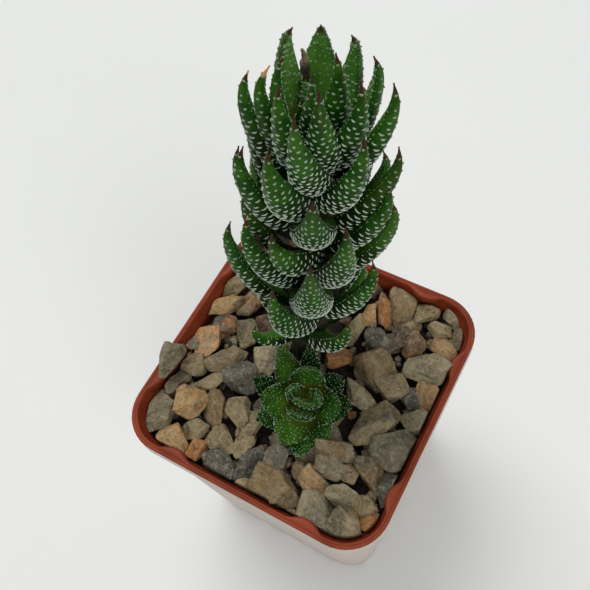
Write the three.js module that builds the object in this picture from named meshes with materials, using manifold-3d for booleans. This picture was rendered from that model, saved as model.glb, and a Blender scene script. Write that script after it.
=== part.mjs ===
// A potted haworthia: a leafy stem and a small offset rosette in a square pot topped with gravel.
// Millimetres, +Z up, origin at the middle of the pot's underside.
import * as THREE from "three";
import { mergeVertices } from "three/addons/utils/BufferGeometryUtils.js";
import Module from "manifold-3d";

const wasm = await Module();
wasm.setup();

// ---- driving dimensions -------------------------------------------------------------
const POT_HEIGHT = 90;
const POT_RIM_SIDE = 83;
const POT_BASE_SIDE = 65;
const RIM_BAND_HEIGHT = 6;
const FLOOR_THICKNESS = 2.2;
const GAP = 0.4;
const DRAIN_HOLE_RADIUS = 3;
const DRAIN_HOLE_OFFSET = 19;
const LUG_LENGTH = 9.5;
const LUG_DEPTH = 2;
const LUG_OFFSET = 21.5;
const SOIL_TOP = 80.5;
const GRAVEL_TOP = 84;

const STEM_FOOT = new THREE.Vector3(-4.9, 9.3, 85);
const STEM_LEAN = 6.1;
const STEM_LEAN_AZIMUTH = 26;
const STEM_ROOT_LENGTH = 12;
const STEM_RADIUS = 4.4;
const CORE_RADIUS = 9;
const STEM_LENGTH = 106;
const SPIRAL_STEP = 138.46;
const RISE_PER_LEAF = 1.77;
const FRONT_AZIMUTH = -63.3;
const BUMP_HEIGHT = 0.45;
const MIDLINE_STEPS = 60;
const HOOK = 20;
const HOOK_START = 0.8;
const THICKNESS_POWER = 2.9;
const BACK_SHARE = 0.78;
const BLUNT_TIP = { half: 0.32, outer: 0.35, inner: 0.25 };

const OFFSET_FOOT = new THREE.Vector3(4, -8, 86.5);
const OFFSET_LEAN = 22;
const OFFSET_LEAN_AZIMUTH = -52;
const OFFSET_STEM_RADIUS = 3;

// ---- small helpers ------------------------------------------------------------------
const rad = (degrees) => (degrees * Math.PI) / 180;
const mix = (a, b, t) => a + (b - a) * t;
const ramp = (x, a, b) => Math.min(1, Math.max(0, (x - a) / (b - a)));

// A small repeatable generator of numbers between 0 and 1.
function dice(seed) {
  let state = seed >>> 0;
  return () => {
    state = (Math.imul(state, 1664525) + 1013904223) >>> 0;
    return state / 4294967296;
  };
}

// A closed surface as a solid that can be joined and cut.
function solid(points, faces) {
  const geometry = new THREE.BufferGeometry();
  geometry.setAttribute("position", new THREE.Float32BufferAttribute(points.flat(), 3));
  geometry.setIndex(faces.flat());
  return solidOf(geometry);
}

function solidOf(geometry) {
  const plain = geometry.clone();
  plain.deleteAttribute("normal");
  plain.deleteAttribute("uv");
  const merged = mergeVertices(plain, 1e-4);
  const mesh = new wasm.Mesh({
    numProp: 3,
    vertProperties: new Float32Array(merged.attributes.position.array),
    triVerts: new Uint32Array(merged.index.array),
  });
  return new wasm.Manifold(mesh);
}

function join(solids) {
  let round = solids;
  while (round.length > 1) {
    const next = [];
    for (let i = 0; i < round.length; i += 2) {
      next.push(i + 1 < round.length ? round[i].add(round[i + 1]) : round[i]);
    }
    round = next;
  }
  return round[0];
}

// The outer skin of a solid's biggest body: crumbs are dropped and sealed hollows filled.
function mainBody(made) {
  const bodies = made.decompose();
  bodies.sort((a, b) => b.volume() - a.volume());
  return bodies[0];
}

function meshOf(made, name, color, roughness) {
  const raw = made.getMesh();
  const geometry = new THREE.BufferGeometry();
  geometry.setAttribute("position", new THREE.BufferAttribute(raw.vertProperties, 3));
  geometry.setIndex(new THREE.BufferAttribute(raw.triVerts, 1));
  const material = new THREE.MeshStandardMaterial({ color, roughness, metalness: 0 });
  const mesh = new THREE.Mesh(geometry, material);
  mesh.name = name;
  return mesh;
}

// Rings of equal length joined into a closed surface, both ends closed on a middle point.
function loft(rings) {
  const n = rings[0].length;
  const points = rings.flat();
  const faces = [];
  for (let i = 0; i + 1 < rings.length; i += 1) {
    for (let j = 0; j < n; j += 1) {
      const k = (j + 1) % n;
      const a = i * n + j;
      const b = i * n + k;
      const c = (i + 1) * n + k;
      const d = (i + 1) * n + j;
      faces.push([a, b, c], [a, c, d]);
    }
  }
  const middle = (ring) => {
    const sum = [0, 0, 0];
    ring.forEach((p) => p.forEach((v, axis) => (sum[axis] += v / n)));
    return sum;
  };
  const first = points.push(middle(rings[0])) - 1;
  const last = points.push(middle(rings[rings.length - 1])) - 1;
  const top = (rings.length - 1) * n;
  for (let j = 0; j < n; j += 1) {
    const k = (j + 1) % n;
    faces.push([first, k, j], [last, top + j, top + k]);
  }
  return solid(points, faces);
}

// ---- the pot ------------------------------------------------------------------------
// A square outline with rounded corners, counter-clockwise from above.
function squareRing(side, corner, z, cornerSteps = 3) {
  const ring = [];
  const reach = side / 2 - corner;
  for (let quarter = 0; quarter < 4; quarter += 1) {
    const cx = quarter === 0 || quarter === 3 ? reach : -reach;
    const cy = quarter < 2 ? reach : -reach;
    for (let i = 0; i <= cornerSteps; i += 1) {
      const a = rad(90 * (quarter + i / cornerSteps));
      ring.push([cx + corner * Math.cos(a), cy + corner * Math.sin(a), z]);
    }
  }
  return ring;
}

const wallSide = (z) => mix(POT_BASE_SIDE, POT_RIM_SIDE - 3.4, z / (POT_HEIGHT - RIM_BAND_HEIGHT));
const wallCorner = (z) => mix(10.5, 12.4, z / (POT_HEIGHT - RIM_BAND_HEIGHT));

// One of the small lens-shaped lugs under the rim's inner edge.
function lug(x, y, turn, grow) {
  const steps = 4;
  const ring = (z, depth) => {
    const outline = [];
    for (let i = 0; i <= steps; i += 1) {
      const along = mix(-LUG_LENGTH / 2 - grow, LUG_LENGTH / 2 + grow, i / steps);
      const bulge = depth * Math.sin((Math.PI * i) / steps) ** 0.8 + grow;
      outline.push([along, bulge]);
    }
    outline.push([LUG_LENGTH / 2 + grow, -1], [-LUG_LENGTH / 2 - grow, -1]);
    return outline
      .map(([u, v]) => [
        x + u * Math.cos(turn) - v * Math.sin(turn),
        y + u * Math.sin(turn) + v * Math.cos(turn),
        z,
      ])
      .reverse();
  };
  const rings = [
    ring(POT_HEIGHT - 3.8 - grow, 0.1),
    ring(POT_HEIGHT - 2, LUG_DEPTH),
    ring(POT_HEIGHT - 0.2 + grow, LUG_DEPTH),
  ];
  return loft(rings);
}

function rimLugs(grow) {
  const wallFace = (POT_RIM_SIDE - 4.2) / 2;
  const lugs = [];
  for (let side = 0; side < 4; side += 1) {
    const turn = rad(90 * side);
    for (const along of [-LUG_OFFSET, LUG_OFFSET]) {
      const x = along * Math.cos(turn) + wallFace * Math.sin(turn);
      const y = along * Math.sin(turn) - wallFace * Math.cos(turn);
      lugs.push(lug(x, y, turn, grow));
    }
  }
  return lugs;
}

function makePot() {
  const top = POT_HEIGHT;
  const band = POT_HEIGHT - RIM_BAND_HEIGHT;
  const outside = [
    squareRing(POT_BASE_SIDE - 1.6, 9.8, 0),
    squareRing(POT_BASE_SIDE, 10.5, 0.8),
    squareRing(wallSide(band - 0.6), 12.4, band - 0.6),
    squareRing(POT_RIM_SIDE - 0.7, 12.9, band + 0.5),
    squareRing(POT_RIM_SIDE, 13, band + 1.4),
    squareRing(POT_RIM_SIDE, 13, top - 1),
    squareRing(POT_RIM_SIDE - 0.7, 12.8, top),
  ];
  const inside = [
    squareRing(POT_RIM_SIDE - 3.6, 11.6, top),
    squareRing(POT_RIM_SIDE - 4.2, 11.4, top - 0.7),
    squareRing(wallSide(band - 1) - 2.6, 11.2, band - 1),
    squareRing(wallSide(FLOOR_THICKNESS) - 2.6, 9.2, FLOOR_THICKNESS),
  ];
  let pot = join([loft([...outside, ...inside]), ...rimLugs(0)]);
  for (const sx of [-1, 1]) {
    for (const sy of [-1, 1]) {
      const drill = new THREE.CylinderGeometry(DRAIN_HOLE_RADIUS, DRAIN_HOLE_RADIUS, 8, 16);
      drill.rotateX(Math.PI / 2);
      drill.translate(sx * DRAIN_HOLE_OFFSET, sy * DRAIN_HOLE_OFFSET, 0);
      pot = pot.subtract(solidOf(drill));
    }
  }
  return pot;
}

// The room inside the pot, a little smaller than the walls.
function potRoom(bottom, top, gap) {
  const rings = [bottom, Math.min(top, POT_HEIGHT - RIM_BAND_HEIGHT - 1)].map((z) =>
    squareRing(wallSide(z) - 2.6 - 2 * gap, 10, z)
  );
  if (top > POT_HEIGHT - RIM_BAND_HEIGHT - 1) {
    const side = wallSide(POT_HEIGHT - RIM_BAND_HEIGHT - 1) - 2.6 - 2 * gap;
    rings.push(squareRing(side, 10, top));
  }
  return loft(rings);
}

// ---- stems and leaves -----------------------------------------------------------------
// A leaning axis with two directions across it: "ahead" faces the pot's front corner.
function axisFrame(foot, lean, leanAzimuth) {
  const up = new THREE.Vector3(
    Math.sin(rad(lean)) * Math.cos(rad(leanAzimuth)),
    Math.sin(rad(lean)) * Math.sin(rad(leanAzimuth)),
    Math.cos(rad(lean))
  );
  const ahead = new THREE.Vector3(Math.cos(rad(FRONT_AZIMUTH)), Math.sin(rad(FRONT_AZIMUTH)), 0);
  ahead.addScaledVector(up, -ahead.dot(up)).normalize();
  const across = new THREE.Vector3().crossVectors(up, ahead);
  return { foot, up, ahead, across };
}

function onAxis(frame, azimuth, radius, height) {
  const p = frame.foot.clone();
  p.addScaledVector(frame.ahead, radius * Math.cos(rad(azimuth)));
  p.addScaledVector(frame.across, radius * Math.sin(rad(azimuth)));
  return p.addScaledVector(frame.up, height);
}

// A tapering round stalk along a frame's axis.
function stalk(frame, from, to, radiusFrom, radiusTo, sides = 12) {
  const rings = [];
  for (const t of [0, 0.5, 1]) {
    const ring = [];
    for (let j = 0; j < sides; j += 1) {
      const radius = mix(radiusFrom, radiusTo, t);
      ring.push(onAxis(frame, (360 * j) / sides, radius, mix(from, to, t)).toArray());
    }
    rings.push(ring);
  }
  return loft(rings);
}

// The slope of a leaf's midline, in degrees from the axis, at s: 0 at the root, 1 at the tip.
// It straightens from the root's slope to the tip's, and the last fifth hooks inwards.
function slopeAt({ tipSlope, bend, hook }, rootSlope, s) {
  return mix(tipSlope, rootSlope, (1 - s) ** bend) - hook * ramp(s, HOOK_START, 1);
}

// The midline as short straight steps laid end to end, starting at the root.
function midline(shape, rootSlope) {
  const step = shape.length / MIDLINE_STEPS;
  const points = [{ s: 0, slope: rad(slopeAt(shape, rootSlope, 0)), r: 0, h: 0 }];
  for (let i = 1; i <= MIDLINE_STEPS; i += 1) {
    const last = points[points.length - 1];
    const between = rad(slopeAt(shape, rootSlope, (i - 0.5) / MIDLINE_STEPS));
    points.push({
      s: i / MIDLINE_STEPS,
      slope: rad(slopeAt(shape, rootSlope, i / MIDLINE_STEPS)),
      r: last.r + step * Math.sin(between),
      h: last.h + step * Math.cos(between),
    });
  }
  return points;
}

// The midline whose root slope, found by halving, takes its tip to the wanted radius.
function fittedMidline(shape) {
  let low = shape.tipSlope + 1;
  let high = 130;
  for (let i = 0; i < 40; i += 1) {
    const guess = (low + high) / 2;
    if (midline(shape, guess).pop().r < shape.tipRadius - shape.rootRadius) low = guess;
    else high = guess;
  }
  const points = midline(shape, low);
  const tip = points[MIDLINE_STEPS];
  return points.map(({ s, slope, r, h }) => ({
    s,
    slope,
    r: r - tip.r + shape.tipRadius,
    h: h - tip.h + shape.tipHeight,
  }));
}

// A thick pointed leaf. It swings sideways from its root to its tip, its back turns towards
// one edge by the roll, and raised bumps stand on the back.
function leaf(frame, shape, grow = 0) {
  const { azimuth, swing, width, thick, roll, rows } = shape;
  const spine = fittedMidline(shape);
  const start = spine.findIndex((point) => point.r >= shape.sunk);
  const rings = [];
  for (let row = 0; row <= rows; row += 1) {
    const { s, slope, r, h } = spine[Math.round(mix(start, MIDLINE_STEPS, row / rows))];
    const turn = azimuth + swing * (1 - s) ** 1.3;
    const out = onAxis(frame, turn, 1, 0).sub(frame.foot);
    const level = new THREE.Vector3().crossVectors(frame.up, out);
    const back = out.clone().multiplyScalar(Math.cos(slope));
    back.addScaledVector(frame.up, -Math.sin(slope));
    const rolled = rad(roll) * Math.min(1, 2.5 * (1 - s));
    const side = level.clone().multiplyScalar(Math.cos(rolled));
    side.addScaledVector(back, -Math.sin(rolled));
    const face = back.clone().multiplyScalar(Math.cos(rolled));
    face.addScaledVector(level, Math.sin(rolled));
    const centre = onAxis(frame, turn, r, h);
    const root = ramp(s, 0, 0.3);
    const plump = 1 - s ** THICKNESS_POWER;
    const slim = (width / 2) * (1 - s ** shape.power) * mix(0.85, 1, root);
    const half = Math.max(BLUNT_TIP.half, slim) + grow;
    const outer = Math.max(BLUNT_TIP.outer, thick * BACK_SHARE * plump * mix(0.8, 1, root)) + grow;
    const inner = Math.max(BLUNT_TIP.inner, thick * (1 - BACK_SHARE) * plump) + grow;
    const ring = [];
    const place = (u, v) =>
      ring.push(centre.clone().addScaledVector(side, u).addScaledVector(face, v).toArray());
    place(-half, 0);
    [-54, -18, 18, 54].forEach((angle, column) => {
      const raised = row > 0 && row < rows && (row + column) % 2 === 0 ? BUMP_HEIGHT : 0;
      const bulge = outer * Math.cos(rad(angle)) ** 0.75 + raised;
      place(half * Math.sin(rad(angle)) * 1.02, bulge);
    });
    place(half, 0);
    place(0, -inner);
    rings.push(ring);
  }
  return loft(rings);
}

// The stem wrapped in the leaves' packed roots: thin at the soil, thick in the middle.
function coreRadius(height) {
  const swell = ramp(height, 4, 34) * ramp(height, 112, 84);
  return mix(STEM_RADIUS, CORE_RADIUS, swell);
}

function core(grow) {
  const rings = [];
  for (const height of [-STEM_ROOT_LENGTH, 4, 12, 22, 34, 60, 84, 92, 100, STEM_LENGTH]) {
    const radius = height < STEM_LENGTH ? coreRadius(height) : 2.4;
    const ring = [];
    for (let j = 0; j < 14; j += 1) {
      ring.push(onAxis(stemFrame, (360 * j) / 14, radius + grow, height).toArray());
    }
    rings.push(ring);
  }
  return loft(rings);
}

const stemFrame = axisFrame(STEM_FOOT, STEM_LEAN, STEM_LEAN_AZIMUTH);

// The leaves that face the front corner: azimuth, height and radius of the tip, sideways swing,
// slope at the tip, width, length, bend, roll and, where it isn't the usual one, hook.
const FRONT_LEAVES = [
  [1, 79.5, 17.5, 6, 4, 12.6, 41, 1.5, 0],
  [1, 102.5, 17.5, 4, 4, 12.6, 32, 1.2, 0],
  [-26, 88, 17.5, 26, 4, 10.5, 32, 1.2, 20],
  [24, 92, 17.5, 4, 4, 11.6, 41, 1.5, -15],
  [-27, 64, 17.5, 22, 4, 12, 37, 1.5, 20],
  [-28, 113.5, 16.5, 16, 4, 12, 34, 1.1, 20],
  [32, 117.5, 16.5, -10, 4, 10, 37, 1.2, -15],
  [-12, 123.5, 15.5, 18, 4, 10.2, 36, 1.2, 5],
  [3, 127, 12.5, 16, 4, 10, 34, 1.1, 0],
  [-4, 124, 6.5, 0, 0, 6, 26, 1, 0],
  [-60, 124.5, 6.5, 8, -2, 7, 30, 1, 0],
  [-28, 126, 12.5, 12, 4, 9.4, 33, 1, 10],
  [37, 126.5, 12.5, 2, 4, 9.5, 34, 1, -10],
  [42, 126.5, 5, 4, 2, 9.8, 31, 1, 0],
  [176, 119, 11, 0, 2, 15, 32, 1, 0],
  [-130, 125, 5.5, 4, -4, 9.5, 31, 1, 0],
  [135, 121, 9, 0, -4, 9, 31, 1, 0],
  [100, 120.5, 10.5, -6, 0, 8, 32, 1, 0],
  [72, 120.5, 14.5, -12, 8, 9.4, 36, 1, -15],
  [-68, 122.5, 8.5, 12, 4, 8.5, 33, 1, 10, 40],
  [-80, 120, 12, 12, 2, 8.5, 33, 1, 10],
  [70, 105, 17.5, -20, 12, 9.8, 38, 1, -25],
  [100, 93, 15, -8, 4, 9, 36, 1, 0],
  [62, 96.5, 17, -12, 4, 10, 36, 1, -15],
  [78, 83.5, 18, -14, 4, 9.8, 36, 1, -10],
  [60, 66.5, 17, -16, 6, 10.4, 38, 1.2, -20],
  [42, 40.5, 15.5, -14, 4, 10, 28, 1.2, -15],
  [-60, 27, 16, 16, 4, 9, 22, 1.2, 10],
  [-50, 87, 17, 16, 5, 10.8, 41, 1.1, 12],
  [-76, 75, 18.5, 18, 6, 10.4, 43, 1.1, 10],
  [-62, 105, 15, 20, 2, 9.8, 35, 1, 10],
  [-80, 99.5, 15, 14, 0, 8, 34, 1, 0, 8],
  [-112, 90, 12.5, 0, 2, 9, 34, 1, 0],
];

function stemLeafShape(row, rows) {
  const [azimuth, tipHeight, tipRadius, swing, tipSlope, width, length, bend, roll] = row;
  return {
    azimuth,
    swing,
    tipHeight,
    tipRadius,
    rootRadius: Math.min(2.5, tipRadius - 4),
    sunk: Math.min(coreRadius(tipHeight - 20) - 2.5, tipRadius - 4),
    length,
    tipSlope,
    bend,
    roll,
    hook: row[9] ?? HOOK,
    width,
    thick: 0.53 * width,
    power: 1.6,
    rows,
  };
}

// Behind, each leaf stands a fixed angle further round the stem than the one below it.
function stemLeafShapes() {
  const roll = dice(71);
  const shapes = FRONT_LEAVES.map((row) => stemLeafShape(row, 8));
  for (let n = -34; n <= 15; n += 1) {
    const azimuth = ((((n * SPIRAL_STEP) % 360) + 540) % 360) - 180;
    const jitter = [roll() - 0.5, roll() - 0.5, roll() - 0.5];
    if (Math.abs(azimuth) < 112) continue;
    const height = 80 + RISE_PER_LEAF * n + 4 * jitter[0];
    if (height < 24) continue;
    const radius = 16.2 - 4 * ramp(height, 92, 112) - 2.5 * ramp(height, 60, 30) + jitter[1];
    const length = mix(34, 24, ramp(height, 60, 26));
    const row = [azimuth + 8 * jitter[2], height, radius, 12 * jitter[1], 4, 10, length, 1, 0];
    shapes.push(stemLeafShape(row, 5));
  }
  return shapes;
}

function makeStem(grow = 0) {
  const pieces = stemLeafShapes().map((shape) => leaf(stemFrame, shape, grow));
  pieces.push(core(grow));
  return mainBody(join(pieces));
}

// The offset rosette: short broad leaves, the outer ones spread flat, the inner ones upright.
const offsetFrame = axisFrame(OFFSET_FOOT, OFFSET_LEAN, OFFSET_LEAN_AZIMUTH);

// Azimuth, height and radius of the tip, sideways swing, length, width.
const OFFSET_LEAVES = [
  [-157, 9.5, 18.5, 14, 20, 11.5],
  [170, 13, 10, 0, 13.5, 11],
  [-97, 12, 12, 14, 14, 11.5],
  [85, 12, 10.5, -8, 13.5, 11.5],
  [-26, 11.5, 12.4, 0, 14, 12.5],
  [-114, 6.5, 16.2, 14, 17.5, 9.5],
  [123, 7, 13.7, 0, 15, 10.5],
  [88, 8, 14, -14, 15, 11],
  [-69, 8.5, 14.4, 12, 15.5, 10.5],
  [-4, 9, 15.4, 4, 16, 12],
  [32, 9, 12.6, 0, 14, 10.5],
  [176, 6, 18.2, -12, 19, 9],
  [-15, 13.5, 2.6, 0, 9, 7.5],
  [-138, 13.5, 5.4, 0, 9, 6],
  [115, 13.5, 4.5, 0, 9, 6],
];

function offsetLeaves(grow) {
  return OFFSET_LEAVES.map(([azimuth, tipHeight, tipRadius, swing, length, width]) => {
    const shape = {
      azimuth,
      swing,
      tipHeight,
      tipRadius,
      rootRadius: 1.2,
      sunk: 1.4,
      length,
      tipSlope: tipRadius > 10 ? 45 : 5,
      bend: 1,
      roll: 0,
      hook: 0,
      width,
      thick: 3,
      power: 2.2,
      rows: 4,
    };
    return leaf(offsetFrame, shape, grow);
  });
}

function makeOffset() {
  const foot = stalk(offsetFrame, -7, 8, OFFSET_STEM_RADIUS, 2, 10);
  const whole = join([...offsetLeaves(0), foot]);
  return mainBody(whole.subtract(join([core(GAP), ...lowStemLeaves(GAP)])));
}

// The lowest leaves of the main stem, which reach down among the stones.
function lowStemLeaves(grow) {
  const low = stemLeafShapes().filter((shape) => shape.tipHeight < 56);
  return low.map((shape) => leaf(stemFrame, shape, grow));
}

// ---- gravel and soil ----------------------------------------------------------------------
// Stones that show from the front corner: x, y, length, breadth, direction of the length.
const STONES = [
  [-35, 10, 16, 7, 40],
  [-36, 17, 9, 6, 40],
  [-31, 4, 8, 7, 40],
  [-33, -3, 12, 9, 120],
  [-24, 5, 11, 7, 130],
  [-37, -6, 7, 5, 120],
  [-24, -6, 15, 7, 50],
  [-13, -2, 10, 7, 110],
  [-32, -12, 9, 8, 60],
  [-34, -20, 10, 6, 100],
  [-25, -15, 11, 6, 50],
  [-17, -10, 11, 10, 10],
  [-34, -30, 15, 9, 100],
  [-27, -24, 12, 11, 100],
  [-19, -22, 12, 7, 120],
  [-12, -19, 11, 9, 110],
  [-7, -21, 11, 6, 90],
  [-21, -30, 8, 6, 20],
  [-25, -36, 11, 9, 50],
  [-17, -35, 8, 6, 70],
  [-13, -29, 12, 7, 150],
  [-9, -37, 13, 9, 160],
  [-1, -31, 13, 7, 90],
  [-6, -27, 10, 6, 100],
  [1, -38, 7, 6, 30],
  [5, -28, 12, 7, 90],
  [9, -35, 16, 12, 150],
  [17, -28, 9, 8, 140],
  [13, -27, 7, 4, 140],
  [20, -17, 12, 8, 20],
  [19, -22, 10, 7, 0],
  [25, -21, 7, 6, 30],
  [31, -18, 11, 8, 150],
  [27, -27, 10, 7, 20],
  [34, -27, 9, 6, 20],
  [37, -19, 11, 6, 100],
  [23, -36, 14, 10, 150],
  [32, -35, 12, 10, 130],
  [37, -31, 8, 7, 10],
  [16, -39, 8, 5, 10],
  [16, 35, 14, 8, 110],
  [12, 30, 12, 6, 120],
  [9, 26, 9, 5, 110],
  [7, 20, 11, 5, 90],
  [24, 34, 9, 7, 50],
  [33, 37, 8, 7, 0],
  [30, 31, 8, 7, 50],
  [20, 23, 10, 6, 70],
  [15, 20, 10, 7, 160],
  [25, 23, 9, 7, 90],
  [34, 26, 10, 7, 0],
  [37, 32, 8, 6, 60],
  [18, 11, 16, 11, 10],
  [33, 18, 15, 10, 20],
  [25, 8, 11, 9, 170],
  [18, 1, 13, 6, 150],
  [36, 10, 10, 7, 130],
  [31, 7, 8, 6, 140],
  [26, -4, 17, 10, 70],
  [36, 1, 10, 8, 170],
  [34, -9, 16, 13, 10],
  [6, 10, 9, 7, 60],
];
// The long stone lying across the rim on the left.
const RIM_STONE = { x: -37.2, y: -15.6, z: 93.9, a: 7.2, b: 3.4, c: 3.3, turn: 100 };

// The corners and faces of the twelve-cornered lump every stone starts from.
const GOLD = (1 + Math.sqrt(5)) / 2;
const LUMP_CORNERS = [-1, 1].flatMap((a) =>
  [-1, 1].flatMap((b) => [
    [a, b * GOLD, 0],
    [0, a, b * GOLD],
    [b * GOLD, 0, a],
  ])
);
const LUMP_FACES = [];
for (let i = 0; i < 12; i += 1) {
  for (let j = i + 1; j < 12; j += 1) {
    for (let k = j + 1; k < 12; k += 1) {
      const [p, q, r] = [i, j, k].map((n) => new THREE.Vector3(...LUMP_CORNERS[n]));
      const longest = Math.max(p.distanceTo(q), q.distanceTo(r), r.distanceTo(p));
      if (longest > 2.01) continue;
      const facing = new THREE.Vector3().crossVectors(q.clone().sub(p), r.clone().sub(p)).dot(p);
      LUMP_FACES.push(facing > 0 ? [i, j, k] : [i, k, j]);
    }
  }
}

// The twelve-cornered lump a stone starts from: each corner is pulled in or out a little.
function pebble({ x, y, z, a, b, c, turn, pulls }, grow = 0) {
  const scale = Math.hypot(1, GOLD);
  const points = LUMP_CORNERS.map(([u, v, w], i) => {
    const px = (u / scale) * (a * pulls[i] + grow);
    const py = (v / scale) * (b * pulls[i] + grow);
    const pz = (w / scale) * (c * pulls[i] + grow);
    const cos = Math.cos(rad(turn));
    const sin = Math.sin(rad(turn));
    return [x + px * cos - py * sin, y + px * sin + py * cos, z + pz];
  });
  return solid(points, LUMP_FACES);
}

const twelvePulls = (roll) => LUMP_CORNERS.map(() => mix(0.9, 1.16, roll()));

// All stones of the bed: the listed ones on top, and a rule that fills between them.
function bedStones() {
  const roll = dice(19);
  const stones = STONES.map(([x, y, length, breadth, turn]) => ({
    x,
    y,
    z: GRAVEL_TOP + 1 + 0.16 * breadth + 0.8 * roll(),
    a: 0.47 * length,
    b: 0.47 * breadth,
    c: breadth * mix(0.36, 0.44, roll()),
    turn,
    pulls: twelvePulls(roll),
  }));
  const pitch = 7.2;
  for (let row = -5; row <= 5; row += 1) {
    for (let column = -5; column <= 5; column += 1) {
      const x = (column + 0.5 * (Math.abs(row) % 2)) * pitch + 2.4 * (roll() - 0.5);
      const y = row * pitch + 2.4 * (roll() - 0.5);
      const size = mix(3.3, 4.6, roll());
      const stone = {
        x,
        y,
        z: GRAVEL_TOP + 0.2 + 0.8 * roll(),
        a: size * mix(1, 1.35, roll()),
        b: size,
        c: size * 0.8,
        turn: 180 * roll(),
        pulls: twelvePulls(roll),
      };
      const covered = stones.some((other) => {
        const near = (other.a + other.b) / 2;
        return Math.hypot(other.x - x, other.y - y) < 0.72 * (near + size);
      });
      if (covered || Math.abs(x) > 38.5 || Math.abs(y) > 38.5) continue;
      if (Math.hypot(x - STEM_FOOT.x, y - STEM_FOOT.y) < 7) continue;
      stones.push(stone);
    }
  }
  return stones;
}

function makeRimStone(grow = 0) {
  const pulls = twelvePulls(dice(5));
  const stone = pebble({ ...RIM_STONE, pulls }, grow);
  const under = new THREE.BoxGeometry(200, 200, 20);
  under.translate(0, 0, POT_HEIGHT + GAP - grow - 10);
  return stone.subtract(solidOf(under));
}

// Plain wells in the soil and the bed for the two stems.
function wells() {
  const radius = STEM_RADIUS + GAP;
  const offsetRadius = OFFSET_STEM_RADIUS + GAP;
  return [
    stalk(stemFrame, -STEM_ROOT_LENGTH - GAP, 12, radius, radius, 14),
    stalk(offsetFrame, -7 - GAP, 4, offsetRadius, offsetRadius, 10),
  ];
}

// The hollows in the stones that the lowest leaves spread over: radius and height on the axis.
const STEM_BOWL = [[4.8, 0.5], [11, 2.5], [18, 7], [22, 12]];
const OFFSET_BOWL = [[3.6, -4.2], [8, -3.8], [12, -2.2], [16, 0.4], [22, 5.6]];

function bowls() {
  return [[stemFrame, STEM_BOWL], [offsetFrame, OFFSET_BOWL]].map(([frame, profile]) =>
    loft(
      profile.map(([radius, height]) => {
        const ring = [];
        for (let j = 0; j < 12; j += 1) {
          ring.push(onAxis(frame, 30 * j, radius, height).toArray());
        }
        return ring;
      })
    )
  );
}

function makeSoil() {
  const block = potRoom(FLOOR_THICKNESS + GAP, SOIL_TOP, GAP);
  return wells().reduce((soil, well) => soil.subtract(well), block);
}

function makeGravel() {
  const slab = potRoom(SOIL_TOP + GAP, GRAVEL_TOP, GAP);
  const bed = join([slab, ...bedStones().map((stone) => pebble(stone))]);
  let gravel = bed.intersect(potRoom(SOIL_TOP + GAP, POT_HEIGHT + 6, GAP));
  for (const taken of [...wells(), ...bowls(), ...rimLugs(GAP), makeRimStone(GAP)]) {
    gravel = gravel.subtract(taken);
  }
  return mainBody(gravel);
}

const object = new THREE.Group();
object.add(meshOf(makePot(), "pot", 0x9c4a33, 0.6));
object.add(meshOf(makeSoil(), "soil", 0x2c231b, 0.95));
object.add(meshOf(makeGravel(), "gravel", 0x9b8d75, 0.85));
object.add(meshOf(makeRimStone(), "rim_stone", 0x7c7868, 0.85));
object.add(meshOf(makeStem(), "main_stem", 0x2f6b2c, 0.6));
object.add(meshOf(makeOffset(), "offset_rosette", 0x3c7a30, 0.6));

export default object;
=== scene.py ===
# %% [markdown]
# # A potted haworthia
# A haworthia is a small succulent. Its thick pointed leaves stand round a short stem in a spiral, and
# rows of white warts run across the back of each leaf. This one stands in a square nursery pot, with
# river gravel on the soil, and a young rosette grows at its foot.
#
# The CAD model gives the sizes and places, and this script makes the surfaces that are seen. Lengths
# are written in millimetres and go into the meshes in metres.

# %% Load the frame
import math

import bpy
import numpy as np
from mathutils import Matrix


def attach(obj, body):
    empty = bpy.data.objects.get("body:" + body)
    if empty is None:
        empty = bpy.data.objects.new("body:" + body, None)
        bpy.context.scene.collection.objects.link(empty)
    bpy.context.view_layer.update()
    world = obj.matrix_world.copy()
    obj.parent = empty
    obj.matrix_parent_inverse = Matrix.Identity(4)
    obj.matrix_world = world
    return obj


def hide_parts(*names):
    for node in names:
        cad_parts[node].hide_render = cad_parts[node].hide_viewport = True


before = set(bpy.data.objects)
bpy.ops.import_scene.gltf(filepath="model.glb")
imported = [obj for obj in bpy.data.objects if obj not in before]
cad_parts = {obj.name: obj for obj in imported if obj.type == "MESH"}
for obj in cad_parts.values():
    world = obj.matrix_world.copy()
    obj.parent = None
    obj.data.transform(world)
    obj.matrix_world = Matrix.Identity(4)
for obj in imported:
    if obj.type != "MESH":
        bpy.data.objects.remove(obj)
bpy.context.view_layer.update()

# %% [markdown]
# ## Small helpers
# Most pieces here are repeated with small differences. `dice` gives repeatable numbers between 0 and
# 1, and it is the same rule that places the stones and the hidden leaves of the CAD model, so the fine
# pieces land on the CAD ones. `ramp` climbs from 0 to 1 between two values, and `mix` blends.

# %% Blend, climb and roll
MM = 0.001


def mix(a, b, t):
    """The value a share t of the way from a to b."""
    return a + (b - a) * t


def ramp(x, a, b):
    """0 before a, 1 after b, a straight climb between."""
    return np.clip((x - a) / (b - a), 0.0, 1.0)


def dice(seed):
    """A function that gives the next number between 0 and 1: state = state * 1664525 + 1013904223."""
    state = seed

    def roll():
        nonlocal state
        state = (state * 1664525 + 1013904223) % 2**32
        return state / 2**32

    return roll


# %% [markdown]
# ## From arrays to a mesh
# A surface is worked out as one array of points, and its faces as an array of corner numbers. Blender
# takes such arrays whole with `foreach_set`, which is much quicker than adding points one by one.
# Values that a material needs, such as how near a point is to the leaf's tip, travel as attributes.

# %% Mesh from arrays


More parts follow.
